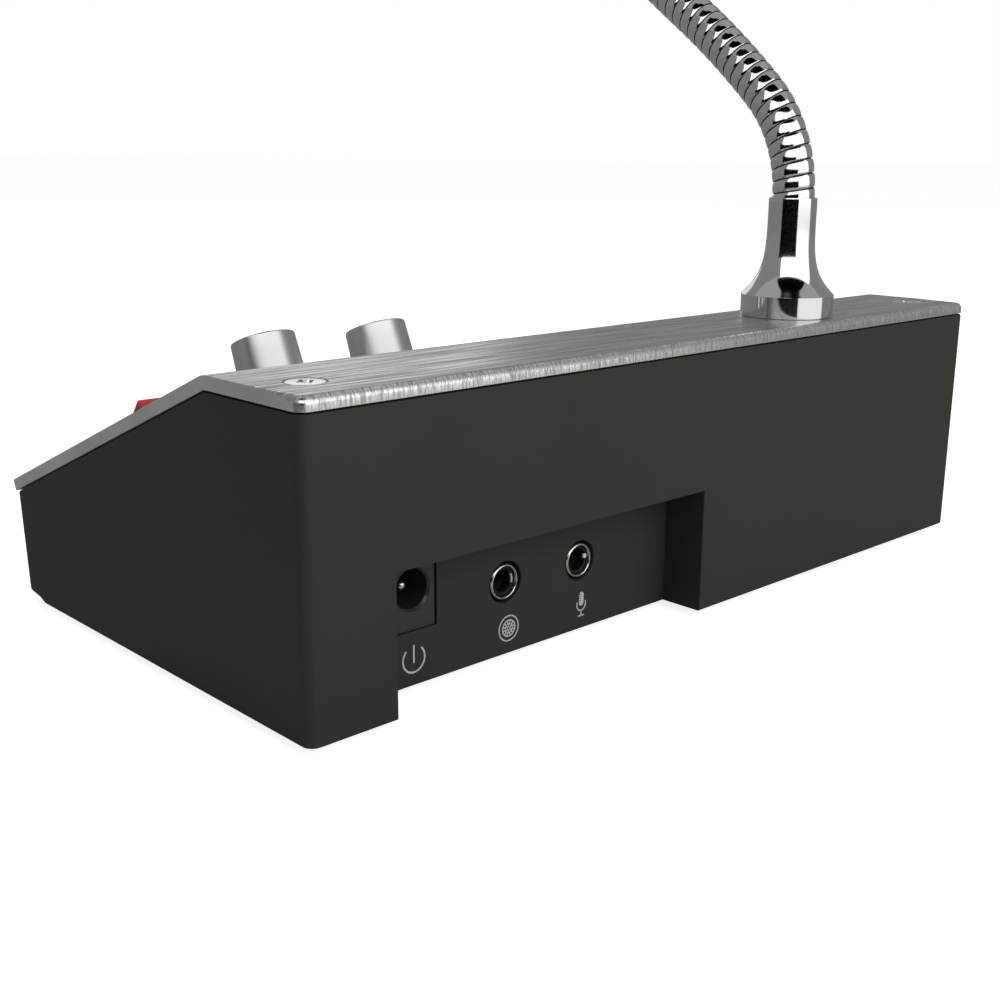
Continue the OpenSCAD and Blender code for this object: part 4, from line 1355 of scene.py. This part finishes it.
@dataclass
class SocketPanel:
    """The sockets in the recess, with the legends under them."""

    ring: float = 3.0
    ring_inner: float = 2.42
    bore: float = 1.8
    set_in: float = 0.2
    ring_length: float = 2.4
    edge_round: float = 0.05
    glint_z: tuple[float, float] = (-0.8, -0.38)
    mic_glint: tuple[float, float, float, float] = (1.45, -0.05, 2.15, 0.7)
    speaker_glint: tuple[float, float] = (1.84, 2.02)
    speaker_glint_arc: tuple[float, float] = (-18, 50)
    power_size: tuple[float, float, float] = (9, 14.2, 11)
    power_round: float = 0.25
    power_bore: float = 3.15
    power_lead_in: float = 0.35
    power_depth: float = 9.5
    power_axis: float = 6.6
    pin_tip: Outline = ((0, -2.1), (0.35, -2.14), (0.72, -2.3), (0.95, -2.65), (1, -3.1))
    pin_root: float = 2

    def glint_piece(self, name: str) -> Object:
        """Models the pale piece that paints a glint inside a round socket: a square on the mic
        insert's face, an arc at the speaker bore's far edge.

        Args:
            name: The socket's name.

        Returns:
            The painted glint, with the socket's axis on Z.
        """
        # The pale box and arc are painted highlights, not contacts.
        low, high = self.glint_z
        if name == "mic_jack":
            left, under, right, top = self.mic_glint
            return box("mic_jack_painted_glint", (left, under, low), (right, top, high))
        (near, far), (start, turn) = self.speaker_glint, self.speaker_glint_arc
        section = [(near, low), (far, low), (far, high), (near, high)]
        glint_piece = lathe("speaker_jack_painted_glint", section, 16, closed=True, turn=turn)
        return moved(glint_piece, turned(start, "Z"))

    def jack(self, name: str, x: float) -> None:
        """Models a round socket's nickel ring, black insert and painted glint.

        Args:
            name: The socket's name.
            x: The place of its axis.
        """
        place = PLAN.facing_out(x, PLAN.board_top + PLAN.jack_axis, self.set_in)
        r, inner, bore, back = self.ring, self.ring_inner, self.bore, -self.ring_length
        ring = lathe(f"{name}_nickel", [
            (inner, -0.9), (inner + 0.1, -0.22), (inner + 0.2, -0.05), (inner + 0.3, 0),
            (r - 0.14, -0.04), (r, -0.2), (r, back), (inner, back),
        ], 56, closed=True)
        insert = lathe(f"{name}_insert", [
            (bore, -0.85), (bore + 0.12, -0.58), (inner - 0.12, -0.42), (inner - 0.005, -0.5),
            (inner - 0.005, back), (bore, back),
        ], 56, closed=True)
        for piece, finish, slot, nodes in (
            (ring, NICKEL, "nickel", (f"{name}_ring",)),
            (insert, JACK_BLACK, "socket_black", ()),
            # The glint piece takes the painted highlight finish.
            (self.glint_piece(name), PAINTED_GLINT, "nickel", ()),
        ):
            soften(piece, self.edge_round, 1, sharp(50))
            settle(piece, place, finish, "base", slot, *nodes)

    def power(self) -> None:
        """Models the power socket and its pin."""
        width, depth, height = self.power_size
        front, x, z = PLAN.recess_wall - self.set_in, PLAN.power_x, PLAN.board_top
        body = box(
            "power_socket_moulding",
            (x - width / 2, front - depth, z), (x + width / 2, front, z + height),
        )
        soften(body, self.power_round, 2, sharp())
        r, edge, deep = self.power_bore, self.power_lead_in, -self.power_depth
        bore = lathe("power_bore", [
            (0, OVER), (r + edge, OVER), (r + edge, 0), (r, -edge), (r, deep), (0, deep),
        ], 56)
        place = PLAN.facing_out(x, z + self.power_axis, self.set_in)
        combine(body, Join.CUT, moved(bore, place))
        dress(shaded(body), SOCKET_BLACK)
        install(body, "base", "socket_black", "power_jack")
        radius, root = self.pin_tip[-1][0], deep - self.pin_root
        pin = lathe("power_socket_pin", [*self.pin_tip, (radius, root), (0, root)], 32)
        settle(pin, place, NICKEL, "base", "nickel", "power_jack_pin")

    def build(self) -> None:
        """Builds the sockets and the legends."""
        for name, x in PLAN.jacks:
            self.jack(name, x)
        self.power()
        Legends().build()


@dataclass
class Rocker:
    """The rocker switch, round its pivot: the rocker, its marks and its frame."""

    half: float = 5.4
    foot: float = 5.8
    high: float = 3.1
    valley: float = 1.75
    under: float = 1.4
    web: tuple[float, float] = (0.9, 3.6)
    width: float = 6.4
    edge_round: float = 0.35
    dip_steps: int = 8
    dip_shares: tuple[float, float] = (0.2, 0.82)
    pin: tuple[float, float, float] = (0.9, 2.5, 4.05)
    pivot: float = -0.36
    tilt: float = 12
    mark_at: tuple[float, float, float] = (3.0, 2.39, 16)
    mark_ring: tuple[float, float] = (0.85, 1.1)
    mark_bar: tuple[float, float] = (0.13, 0.9)
    bezel: tuple[float, float, float] = (5.25, 7.5, 1.6)
    bezel_corner: float = 0.6
    bezel_edge: float = 0.45
    housing: tuple[float, float, float] = (4.4, 6.65, 10)
    well: tuple[float, float, float] = (3.5, 6.1, 7)
    mouth: float = 6.5
    pin_bore: tuple[float, float] = (0.95, 4.1)
    plate: FacePlate = field(default_factory=FacePlate)

    def rocker(self) -> None:
        """Models the rocker, with a shallow V along its top, and its marks."""
        x, s = self.plate.rocker_x, self.plate.rocker_s
        tilt = PLAN.on_slope(x, s, PLAN.plate + self.pivot) @ turned(self.tilt, "X")
        half, foot, high, valley = self.half, self.foot, self.high, self.valley
        (soft, span), steps = self.dip_shares, self.dip_steps
        shares = [i / steps for i in range(steps, -steps - 1, -1)]
        dip = [
            (half * t, valley + (high - valley) * (math.hypot(t, soft) - soft) / span)
            for t in shares
        ]
        under, (web, web_foot) = -self.under, self.web
        piece = prism("rocker_cap", [
            (-foot, 0), (-foot, under), (-web, under), (-web, -web_foot), (web, -web_foot),
            (web, under), (foot, under), (foot, 0), *dip,
        ], -self.width / 2, self.width / 2)
        upper = both(sharp(), lambda e: any(v.co.z > 2 for v in e.verts))
        soften(piece, self.edge_round, 3, upper)
        for side in (-1, 1):
            pin = drum("pin", *self.pin, 24)
            combine(piece, Join.ADD, moved(pin, turned(side * 90, "Y")))
        settle(piece, tilt, ROCKER_RED, "rocker", "rocker_red", "rocker")
        (y, z, lean), (inner, outer) = self.mark_at, self.mark_ring
        profile = [(inner, 0), (outer, 0), (outer, INK_HEIGHT), (inner, INK_HEIGHT)]
        ring = lathe("mark_o", profile, 40, closed=True)
        moved(ring, spot(0, y, z) @ turned(lean, "X"))
        wide, long = self.mark_bar
        bar = box("mark_i", (-wide, -long, 0), (wide, long, INK_HEIGHT))
        moved(bar, spot(0, -y, z) @ turned(-lean, "X"))
        marks = moved(joined("rocker_marks", [ring, bar]), tilt)
        dress(marks, BUTTON_WHITE)
        install(marks, "rocker", "button_white")

    def frame(self) -> None:
        """Models the switch's frame and housing."""
        x, y, rise = self.bezel
        face, top = PLAN.plate, PLAN.plate + rise
        bezel = box("bezel", (-x, -y, face), (x, y, top))
        upper = between((-x, -y, top), (x, y, top))
        soften(bezel, self.bezel_corner, 4, both(sharp(), along(2, 1)))
        soften(bezel, self.bezel_edge, 3, both(sharp(), upper))
        x, y, deep = self.housing
        body = box("rocker_frame", (-x, -y, -deep), (x, y, face + 0.2))
        combine(body, Join.ADD, bezel)
        radius, reach = self.pin_bore
        bore = moved(drum("pin_bore", radius, -reach, reach, 24), turned(90, "Y"))
        x, y, deep = self.well
        for cutter in (
            box("well", (-x, -y, -deep), (x, y, face)),
            box("mouth", (-x, -self.mouth, 0), (x, self.mouth, top + OVER)),
            moved(bore, spot(0, 0, face + self.pivot)),
        ):
            combine(body, Join.CUT, cutter)
        place = PLAN.on_slope(self.plate.rocker_x, self.plate.rocker_s)
        settle(body, place, PART_BLACK, "base", "part_black", "rocker_housing")

    def build(self) -> None:
        """Builds the rocker and its frame."""
        self.rocker()
        self.frame()


@dataclass
class Controls:
    """The knobs, push buttons, rocker switch and lamp on the slope."""

    knob: float = 5.75
    knob_foot: float = 6.05
    knob_height: float = 12.25
    knob_lift: float = 0.6
    knob_edge: float = 0.3
    knob_bore: float = 3.05
    knob_roof: float = 1.6
    dish: tuple[float, float] = (1.1, 1.35)
    dish_depth: tuple[float, float] = (0.14, 0.18)
    mark: tuple[float, float, float] = (0.8, 3.2, 0.4)
    stem: tuple[float, float] = (1.5, 3.4)
    collar: tuple[float, float, float] = (0.9, 1.6, 0.3)
    button: float = 4.5
    button_height: float = 3.2
    button_edge: float = 0.3
    button_rise: float = 0.85
    lamp_radius: float = 1.5
    lamp_flange: tuple[float, float] = (1.8, 1.5)
    lamp_rise: float = 1
    lamp_ring: tuple[float, float] = (1.56, 2.1)
    plate: FacePlate = field(default_factory=FacePlate)

    def knobs(self) -> None:
        """Models the turned knobs with their indicator groove."""
        r, foot, low, top = self.knob, self.knob_foot, self.knob_lift, self.knob_height
        (rim, bed), (side, deep) = self.dish, self.dish_depth
        for name, x in zip(("speaker_knob", "mic_knob"), self.plate.knobs):
            piece = lathe(f"{name}_turned", [
                (0, low), (foot - 0.2, low), (foot, low + 0.2),
                (r + 0.01, top - self.knob_edge), (r - 0.1, top - 0.09),
                (r - self.knob_edge, top), (r - rim, top), (r - bed, top - side),
                (0, top - deep),
            ], 72)
            bore = drum("bore", self.knob_bore, 0, top - self.knob_roof, 40)
            combine(piece, Join.CUT, bore)
            width, length, depth = self.mark
            corner = (width / 2, length - r, top + 1)
            groove = box("groove", (-width / 2, -r - 1, top - depth), corner)
            combine(piece, Join.CUT, groove)
            place = PLAN.on_slope(x, self.plate.knob_s, PLAN.plate)
            finish = TurnedFinish(
                f"{name}_spun",
                ((0.5, 0.51, 0.51), (0.66, 0.67, 0.68)),
                (0.36, 0.26),
                Marks((900, 900, 60), 3, contrast=(0.34, 0.66)),
                Marks((4200, 4200, 900), 3, 0.003),
                metallic=1.0,
                centre=tuple(place.translation * MM),
                lean=PLAN.slope,
            )
            settle(piece, place, finish, name, "knob_aluminium", name)

    def buttons(self) -> None:
        """Models the domed push buttons."""
        r, top, edge = self.button, PLAN.plate + self.button_height, self.button_edge
        side = top - self.button_rise - edge
        dome = ((r - edge, t) for t in (0.9, 0.75, 0.6, 0.45, 0.3, 0.15, 0))
        (stem, foot), (proud, low, high) = self.stem, self.collar
        model = lathe("button", [
            (0, -foot), (stem, -foot), (stem, -low), (r + proud, -low), (r + proud, -high),
            (r, -high), (r, side),
            *arc(edge, (20, 40, 60), r - edge, side),
            *((wide * t, top - self.button_rise * t * t) for wide, t in dome),
        ], 64)
        for i, x in enumerate(self.plate.buttons):
            piece = copied(model, f"button_cap_{i + 1}")
            place, body = PLAN.on_slope(x, self.plate.button_s), f"push_button_{i + 1}"
            settle(piece, place, BUTTON_WHITE, body, "button_white", body)
        bpy.data.objects.remove(model)

    def lamp(self) -> None:
        """Models the lamp's dome and its bezel."""
        place = PLAN.on_slope(self.plate.rocker_x, self.plate.lamp_s)
        r, face, top = self.lamp_radius, PLAN.plate, PLAN.plate + self.lamp_rise
        flange, foot = self.lamp_flange
        piece = lathe("lamp_dome", [
            (0, -foot), (flange, -foot), (flange, 0), (r, 0),
            *arc(r, range(0, 90, 12), y=top - r), (0, top),
        ], 40)
        settle(piece, place, LAMP_RED, "base", "led_red", "power_led")
        inner, outer = self.lamp_ring
        ring = lathe("lamp_bezel", [
            (inner, face), (outer, face), (outer - 0.05, face + 0.28), (inner + 0.06, face + 0.36),
        ], 40, closed=True)
        settle(ring, place, NICKEL, "base", "nickel")

    def build(self) -> None:
        """Builds all the controls."""
        self.knobs()
        self.buttons()
        Rocker().build()
        self.lamp()


@dataclass
class Gooseneck:
    """The flared socket and the ribbed neck."""

    top: float = 50.1
    socket_height: float = 22.4
    flange: tuple[float, float] = (8.86, 4.26)
    socket_top: float = 4.55
    shank: tuple[float, float] = (5, 12)
    lead_bore: float = 1.95
    flare_steps: int = 29
    neck_in: float = 10
    free: float = 208
    radius: float = 4
    grip_gap: float = 0.05
    groove: float = 0.42
    groove_half: float = 0.08
    rib: Outline = ((0.16, 0.13), (0.09, 0.28), (0.04, 0.52), (0.012, 0.82))
    hinges: int = 6
    leans: tuple[tuple[float, float], ...] = (
        (0, 0), (10, 0), (32, 46), (56, 54), (218, 34), (228, 34),
    )
    # How far inside the ribs' outer radius the groove faces start to take the painted shade.
    shade_inset: float = 0.17
    half_pitch: float = 1.225
    sides: int = 40

    @property
    def length(self) -> float:
        """The neck's length with both its held ends."""
        return self.free + 2 * self.neck_in

    @property
    def steps(self) -> int:
        """How many half ribs the neck has."""
        return math.ceil(self.length / self.half_pitch)

    @property
    def pitch(self) -> float:
        """The distance between two ribs."""
        return 2 * self.length / self.steps

    def lean(self, reach: float) -> float:
        """Works out the neck's lean from upright.

        Args:
            reach: The length along the neck.

        Returns:
            The lean in degrees.
        """
        for (start, first), (end, last) in zip(self.leans, self.leans[1:]):
            if reach <= end:
                return first + (last - first) * (reach - start) / (end - start)
        return self.leans[-1][1]

    def line(self) -> list[Vector]:
        """Works out the neck's centre line.

        Returns:
            Its points, half a rib apart.
        """
        step = self.pitch / 2
        point = Vector((*PLAN.neck, self.top + self.socket_height - self.neck_in))
        points = [point.copy()]
        for i in range(self.steps):
            angle = math.radians(self.lean((i + 0.5) * step))
            point += Vector((0, -math.sin(angle), math.cos(angle))) * step
            points.append(point.copy())
        return points

    def socket(self) -> None:
        """Models the flared socket with its threaded shank."""
        (radius, rim), top, high = self.flange, self.socket_top, self.socket_height
        (shank, shank_foot), bore = self.shank, self.radius + self.grip_gap
        flare = (i / self.flare_steps for i in range(1, self.flare_steps))
        piece = lathe("neck_socket_turned", [
            (self.lead_bore, -shank_foot), (shank, -shank_foot), (shank, 0),
            (radius - 0.15, 0), (radius, 0.15), (radius, rim - 0.12), (radius - 0.12, rim),
            *((top + (radius - top) * (1 - t) ** 5, rim + (high - rim) * t) for t in flare),
            (top, high - 0.2), (top - 0.06, high - 0.05), (top - 0.2, high), (bore, high),
            (bore, high - self.neck_in), (self.lead_bore, high - self.neck_in),
        ], 96, closed=True)
        place = spot(*PLAN.neck, self.top)
        settle(piece, place, CHROME, "base", "chrome", "neck_socket")

    def track(self) -> Object:
        """Adds the curve that the neck follows.

        Returns:
            The curve.
        """
        bare()
        bpy.ops.curve.primitive_nurbs_path_add()
        track = named("neck_track")
        track.data.splines.clear()
        points = self.line()
        spline = track.data.splines.new("POLY")
        spline.points.add(len(points) - 1)
        for knot, point in zip(spline.points, points):
            knot.co = (*point, 1)
        return fixed(track)

    def stretch(self, name: str, first: int, last: int, track: Object) -> Object:
        """Models the bands of one stretch, paints shade into their grooves, and bends them along
        the neck's curve.

        Args:
            name: The piece's name.
            first: The first rib.
            last: The rib after the last.
            track: The curve.

        Returns:
            The closed stretch.
        """
        r, low, pitch = self.radius, self.radius - self.groove, self.pitch
        half = [(low, 0), (low, self.groove_half), *((r - inset, z) for inset, z in self.rib)]
        profile = [*half, (r, pitch / 2), *((x, pitch - z) for x, z in half[::-1])]
        piece = strand(name, profile)
        winding = piece.modifiers.new("Winding", "SCREW")
        winding.screw_offset = pitch
        winding.iterations = last - first
        winding.steps = winding.render_steps = self.sides
        take(piece)
        bpy.ops.object.modifier_apply(modifier=winding.name)
        with editing(piece):
            bpy.ops.mesh.select_all(action="SELECT")
            bpy.ops.mesh.remove_doubles(threshold=WELD)
            for start in (0, (last - first) * pitch):
                ends = {
                    v for v in bmesh.from_edit_mesh(piece.data).verts
                    if abs(v.co.y) < NEAR and v.co.x > 0
                    and start - NEAR < v.co.z < start + pitch + NEAR
                }
                middle = start + pitch / 2
                for end in (
                    lambda e: ends.issuperset(e.verts),
                    lambda e: abs(e.verts[0].co.z - middle) < pitch,
                ):
                    choose(Part.EDGE, lambda e: e.is_boundary and end(e))
                    bpy.ops.mesh.edge_face_add()
            outwards()
        # Painted shade: the faces deep in each groove take the dark finish.
        dress(piece, CHROME, GROOVE_SHADE)
        shade_radius = r - self.shade_inset
        paint(piece, 1, lambda f: f.calc_center_median().xy.length < shade_radius)
        moved(piece, spot(0, 0, first * pitch))
        bend = piece.modifiers.new("Bend", "CURVE")
        bend.object = track
        bend.deform_axis = "POS_Z"
        take(piece)
        bpy.ops.object.modifier_apply(modifier=bend.name)
        return piece

    def build(self) -> None:
        """Builds the socket and the skin of the neck, one piece over each hinge."""
        self.socket()
        track = self.track()
        points = self.line()
        places = (self.neck_in + self.free * i / self.hinges for i in range(self.hinges + 1))
        ribs = [round(place / self.pitch) for place in places]
        ribs[0] -= 2
        ribs[-1] += 1
        nodes = ["neck_stub", *(f"neck_{i}" for i in range(1, self.hinges + 1))]
        for i, (first, last) in enumerate(zip(ribs, ribs[1:])):
            piece = self.stretch(f"neck_bands_{i + 1}", first, last, track)
            moved(shaded(piece, 50), Matrix.Scale(MM, 4))
            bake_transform(piece)
            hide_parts(nodes[i], *(nodes[-1:] if i == self.hinges - 1 else ()))
            LOG.info("%s: %d faces", piece.name, len(piece.data.polygons))
        bpy.data.objects.remove(track)


@dataclass
class MicHead:
    """The microphone on the neck's end."""

    neck: Gooseneck = field(default_factory=Gooseneck)
    radius: float = 8
    length: float = 32
    nose: float = 3
    sleeve: float = 5.2
    sleeve_edge: float = 0.2
    taper: Outline = ((5.75, -8.4), (5.95, -8.3), (6.0, -8.0), (6.55, -5.6), (7.2, -2.6))
    collar_in: float = 0.3
    wall: float = 1.2
    rear_edge: float = 0.25
    front_edge: float = 0.15
    groove: tuple[float, float] = (3.2, 3.9)
    groove_side: float = 0.15
    groove_depth: float = 0.22
    slots: int = 8
    slot_size: tuple[float, float] = (1.6, 12)
    slot_back: float = 4
    slot_round: float = 0.78
    cap_edge: float = 0.12
    dome: Outline = ((0, 1.4), (0.24, 1.95), (0.8, 2.34), (1.2, 2.4))
    hole: float = 0.6
    hole_pitch: float = 1.9
    hole_rings: int = 4

    def at_head(self) -> Matrix:
        """The place of the neck's end, with +Z along the head."""
        return spot(*self.neck.line()[-1]) @ turned(self.neck.leans[-1][1], "X")

    def fit(self, piece: Object, finish: Finish, slot: str, node: str) -> None:
        """Dresses a piece and puts it on the head."""
        settle(piece, self.at_head(), finish, "mic_head", slot, node)

    def ferrule(self) -> Object:
        """Models the ferrule that joins the neck to the housing.

        Returns:
            The ferrule, with the housing's axis on Z.
        """
        base, bore, held = self.nose, self.neck.lead_bore, -self.neck.neck_in
        collar, socket = self.radius - self.collar_in, self.neck.radius + self.neck.grip_gap
        sleeve, edge = self.sleeve, self.sleeve_edge
        return lathe("mic_ferrule_turned", [
            (bore, base), (bore, 0), (socket, 0), (socket, held), (sleeve - edge, held),
            (sleeve, held + edge), *self.taper,
            (collar - 0.1, -0.5), (collar, 0), (collar, base),
        ], 72, closed=True)

    def housing(self) -> Object:
        """Models the housing with its groove and its long slots.

        Returns:
            The housing, with its axis on Z.
        """
        r, base, end = self.radius, self.nose, self.nose + self.length
        inner, seam, side = r - self.wall, r - self.groove_depth, self.groove_side
        start, stop = (base + z for z in self.groove)
        housing = lathe("mic_housing_painted", [
            (inner, base), (r - self.rear_edge, base), (r, base + self.rear_edge), (r, start),
            (seam, start + side), (seam, stop - side), (r, stop), (r, end - self.front_edge),
            (r - self.front_edge, end), (inner, end),
        ], 80, closed=True)
        width, length = self.slot_size
        top = end - self.slot_back
        slot = box("slot", (inner - 1, -width / 2, top - length), (r + 1, width / 2, top))
        soften(slot, self.slot_round, 4, both(sharp(), along(0, 1)))
        turns = [turned(360 * i / self.slots, "Z") for i in range(self.slots)]
        return combine(housing, Join.CUT, repeated(slot, "slots", turns))

    def cap(self) -> Object:
        """Models the domed cap with its holes.

        Returns:
            The cap, with the housing's axis on Z.
        """
        r, end, edge = self.radius, self.nose + self.length, self.cap_edge
        face = end + self.dome[-1][1]
        cap = lathe("mic_cap_domed", [
            (0, end), (r - edge, end), (r, end + edge),
            *((r - inset, end + rise) for inset, rise in self.dome), (0, face),
        ], 80)
        hole = drum("hole", self.hole, end - OVER, face + OVER, 16)
        places = honeycomb(self.hole_rings, self.hole_pitch)
        return combine(cap, Join.CUT, repeated(hole, "holes", places))

    def build(self) -> None:
        """Builds the ferrule, the slotted housing and the cap."""
        self.fit(self.ferrule(), CHROME, "chrome", "mic_ferrule")
        self.fit(self.housing(), HOUSING_BLACK, "housing_black", "mic_housing")
        self.fit(self.cap(), HOUSING_BLACK, "housing_black", "mic_cap")


@dataclass
class Feet:
    """The rubber feet and the strip between them."""

    radius: float = 5
    height: float = 1.5
    places: tuple[tuple[float, float], ...] = ((73, 23.0), (-73, 23.0), (73, -31.4), (-73, -31.4))
    edge: float = 0.35
    dimple: tuple[float, float] = (1.6, 1.9)
    strip: tuple[float, float] = (22, 5)
    strip_round: float = 0.3

    def build(self) -> None:
        """Models one ringed foot, copies it and adds the strip."""
        r, top, edge, (bed, rim) = self.radius, self.height, self.edge, self.dimple
        foot = lathe("foot", [
            (0, edge), (bed, edge), (rim, 0), (r - edge, 0), (r - 0.1, 0.1), (r, edge),
            (r, top), (0, top),
        ], 48)
        feet = repeated(foot, "rubber_feet", [spot(x, y, 0) for x, y in self.places])
        x, y = self.strip
        strip = box("strip", (-x, -y, 0), (x, y, top))
        lower = both(sharp(), lambda e: any(v.co.z < top - NEAR for v in e.verts))
        soften(strip, self.strip_round, 2, lower)
        feet = joined("rubber_foot_set", [feet, strip])
        dress(shaded(feet), RUBBER)
        install(feet, "base", "foot_rubber", "rubber_feet")


@dataclass
class Insides:
    """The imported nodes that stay, by their finishes."""

    finishes: tuple[tuple[Finish, str], ...] = (
        (CASING, "bottom_cover"),
        (STEEL, "speaker_basket heat_sink ballast_bar mic_capsule"),
        (STEEL, "speaker_pot_shaft mic_pot_shaft"),
        (FERRITE, "speaker_magnet"),
        (PAPER, "speaker_cone speaker_dust_cap"),
        (RUBBER, "speaker_gasket capsule_holder"),
        (SCREW_STEEL, "speaker_nuts board_screws socket_nut"),
        (BOARD, "main_board control_board"),
        (SOCKET_BLACK, "speaker_jack mic_jack"),
        (PART_BLACK, "amplifier_chip push_switch_1 push_switch_2 push_switch_3"),
        (SLEEVE, "filter_capacitors"),
        (NYLON, "board_connectors"),
        (POT_CASE, "speaker_pot mic_pot"),
        (BRASS, "rocker_terminals"),
        (LEAD_RED, "speaker_leads"),
        (LEAD_BLACK, "switch_leads"),
        (LEAD_GREY, "mic_lead"),
        (WIRE_MESH, "mic_mesh"),
    )

    def build(self) -> None:
        """Gives the nodes that stay their finishes."""
        for finish, nodes in self.finishes:
            for node in nodes.split():
                dress(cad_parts[node], finish)
                LOG.info("%s: finished as %s", node, finish.name)


@dataclass
class Studio:
    """The camera, the floor, the lights, and the cards that only reflections show."""

    camera: tuple[float, float, float] = (0.178737, 0.179513, 0.079813)
    right: tuple[float, float, float] = (-0.72745, 0.68612, 0.00736)
    down: tuple[float, float, float] = (0.17063, 0.19128, -0.96659)
    forward: tuple[float, float, float] = (-0.66461, -0.70189, -0.25622)
    lens: float = 46.76
    film: float = 36
    clip: tuple[float, float] = (0.01, 20)
    aim: tuple[float, float, float] = (0, 0, 0.06)
    floor_size: float = 60
    floor_tone: float = 0.62
    card_steps: int = 48
    floor_glow: float = 0.85
    ambient: float = 0.14
    lamps: tuple[tuple[str, tuple[float, float, float], float, float], ...] = (
        ("key_light", (0.0, 1.6, 1.0), 1.2, 16.5),
        ("side_light", (0.75, -0.9, 0.6), 0.8, 1.2),
        ("top_light", (-0.2, -0.3, 1.8), 1.2, 9),
    )
    cards: tuple[tuple[str, Outline, float, float, float], ...] = (
        ("grey_round", ((2.5, -0.1), (2.5, 2.5)), 0, 360, 0.3),
        ("soft_top", ((2.5, 2.5), (0.01, 3.0)), 0, 360, 0.45),
        ("back_glow", ((2.3, 0.3), (2.3, 1.3)), 228, 250, 1.0),
        ("white_panel", ((1.4, 0.0), (1.4, 1.55)), -2, 128, 1.8),
        ("dark_top", ((1.4, 1.6), (0.25, 1.6)), -15, 110, 0.0),
        ("floor_grey", ((0.13, 0.0005), (2.45, 0.0005)), 130, 345, 0.26),
        ("low_dark", ((0.35, 0.001), (0.35, 0.145)), -15, 62, 0.0),
        ("low_white", ((0.35, 0.001), (0.35, 0.058)), 62, 130, 1.2),
    )

    def place_camera(self) -> None:
        """Sets the camera at the photograph's view."""
        bare()
        bpy.ops.object.camera_add()
        camera = bpy.context.object
        camera.name = "view_camera"
        camera.data.lens = self.lens
        camera.data.sensor_width = self.film
        camera.data.clip_start, camera.data.clip_end = self.clip
        columns = (self.right, [-c for c in self.down], [-c for c in self.forward])
        turn = Matrix(columns).transposed().to_4x4()
        camera.matrix_world = Matrix.Translation(self.camera) @ turn
        bpy.context.scene.camera = camera

    def soft_light(self, name: str, place: Sequence[float], size: float, power: float) -> None:
        """Adds a square soft light that faces the casing.

        Args:
            name: Its name.
            place: Its place, in metres.
            size: The length of its side, in metres.
            power: Its power in watts.
        """
        bpy.ops.object.light_add(type="AREA", location=place)
        lamp = bpy.context.object
        lamp.name = name
        lamp.data.shape = "SQUARE"
        lamp.data.size = size
        lamp.data.energy = power
        way = Vector(self.aim) - Vector(place)
        lamp.rotation_euler = way.to_track_quat("-Z", "Y").to_euler()
        lamp.visible_glossy = False

    def world(self) -> None:
        """Makes a soft world that the camera and reflections see as white."""
        world = bpy.data.worlds.new("studio")
        bpy.context.scene.world = world
        world.use_nodes = True
        tree = world.node_tree
        ray = shader(tree, "ShaderNodeLightPath", {}).outputs
        seen = ray["Is Camera Ray"]
        for other in ("Is Glossy Ray", "Is Transmission Ray"):
            either = {0: seen, 1: ray[other]}
            seen = shader(tree, "ShaderNodeMath", either, operation="MAXIMUM").outputs[0]
        strength = shader(
            tree, "ShaderNodeMapRange", {"Value": seen, "To Min": self.ambient, "To Max": 1.0}
        )
        feed(tree.nodes["Background"], {
            "Color": (1, 1, 1, 1), "Strength": strength.outputs["Result"],
        })

    def floor(self) -> None:
        """Adds the pale floor, which the camera sees as white outside the shadow."""
        bare()
        bpy.ops.mesh.primitive_plane_add(size=self.floor_size)
        floor = named("studio_floor")
        material = blank_material("floor_white", {
            "Base Color": (self.floor_tone, self.floor_tone, self.floor_tone, 1),
            "Roughness": 0.9,
            "Specular IOR Level": 0.1,
            "Emission Color": (1, 1, 1, 1),
        })
        tree = material.node_tree
        ray = shader(tree, "ShaderNodeLightPath", {}).outputs["Is Camera Ray"]
        glow = {0: ray, 1: self.floor_glow}
        share = shader(tree, "ShaderNodeMath", glow, operation="MULTIPLY").outputs[0]
        feed(tree.nodes["Principled BSDF"], {"Emission Strength": share})
        floor.data.materials.append(material)

    def card(self, name: str, profile: Outline, start: float, end: float, strength: float) -> None:
        """Hangs a curved card that only reflections show.

        Args:
            name: The card's name.
            profile: The two ends of its section, as distances from the neck and heights,
                in metres.
            start: The azimuth from +X at which it starts, in degrees.
            end: The azimuth at which it ends.
            strength: How bright it is, with 1 for white.
        """
        (near, low), (far, high) = profile
        card = strand(name, [(near, low), ((near + far) / 2, (low + high) / 2), (far, high)])
        sweep = card.modifiers.new("Sweep", "SCREW")
        sweep.angle = math.radians(end - start)
        sweep.steps = sweep.render_steps = self.card_steps
        take(card)
        bpy.ops.object.modifier_apply(modifier=sweep.name)
        moved(card, spot(PLAN.neck[0] * MM, PLAN.neck[1] * MM, 0) @ turned(start, "Z"))
        card.data.materials.append(blank_material(name, {
            "Base Color": (0, 0, 0, 1),
            "Specular IOR Level": 0,
            "Emission Color": (1, 1, 1, 1),
            "Emission Strength": strength,
        }))
        card.visible_camera = card.visible_diffuse = card.visible_shadow = False
        card.visible_transmission = card.visible_volume_scatter = False

    def build(self) -> None:
        """Sets up the studio."""
        self.place_camera()
        self.world()
        self.floor()
        for lamp in self.lamps:
            self.soft_light(*lamp)
        for card in self.cards:
            self.card(*card)
        bpy.context.scene.view_settings.view_transform = "Standard"


def main() -> None:
    """Builds the intercom's looks."""
    logging.basicConfig(level=logging.INFO, format="%(message)s")
    for assembly in (
        Studio(), Casing(), FacePlate(), Screws(), SocketPanel(), Controls(), Gooseneck(),
        MicHead(), Feet(), Insides(),
    ):
        assembly.build()


if __name__ == "__main__":
    main()
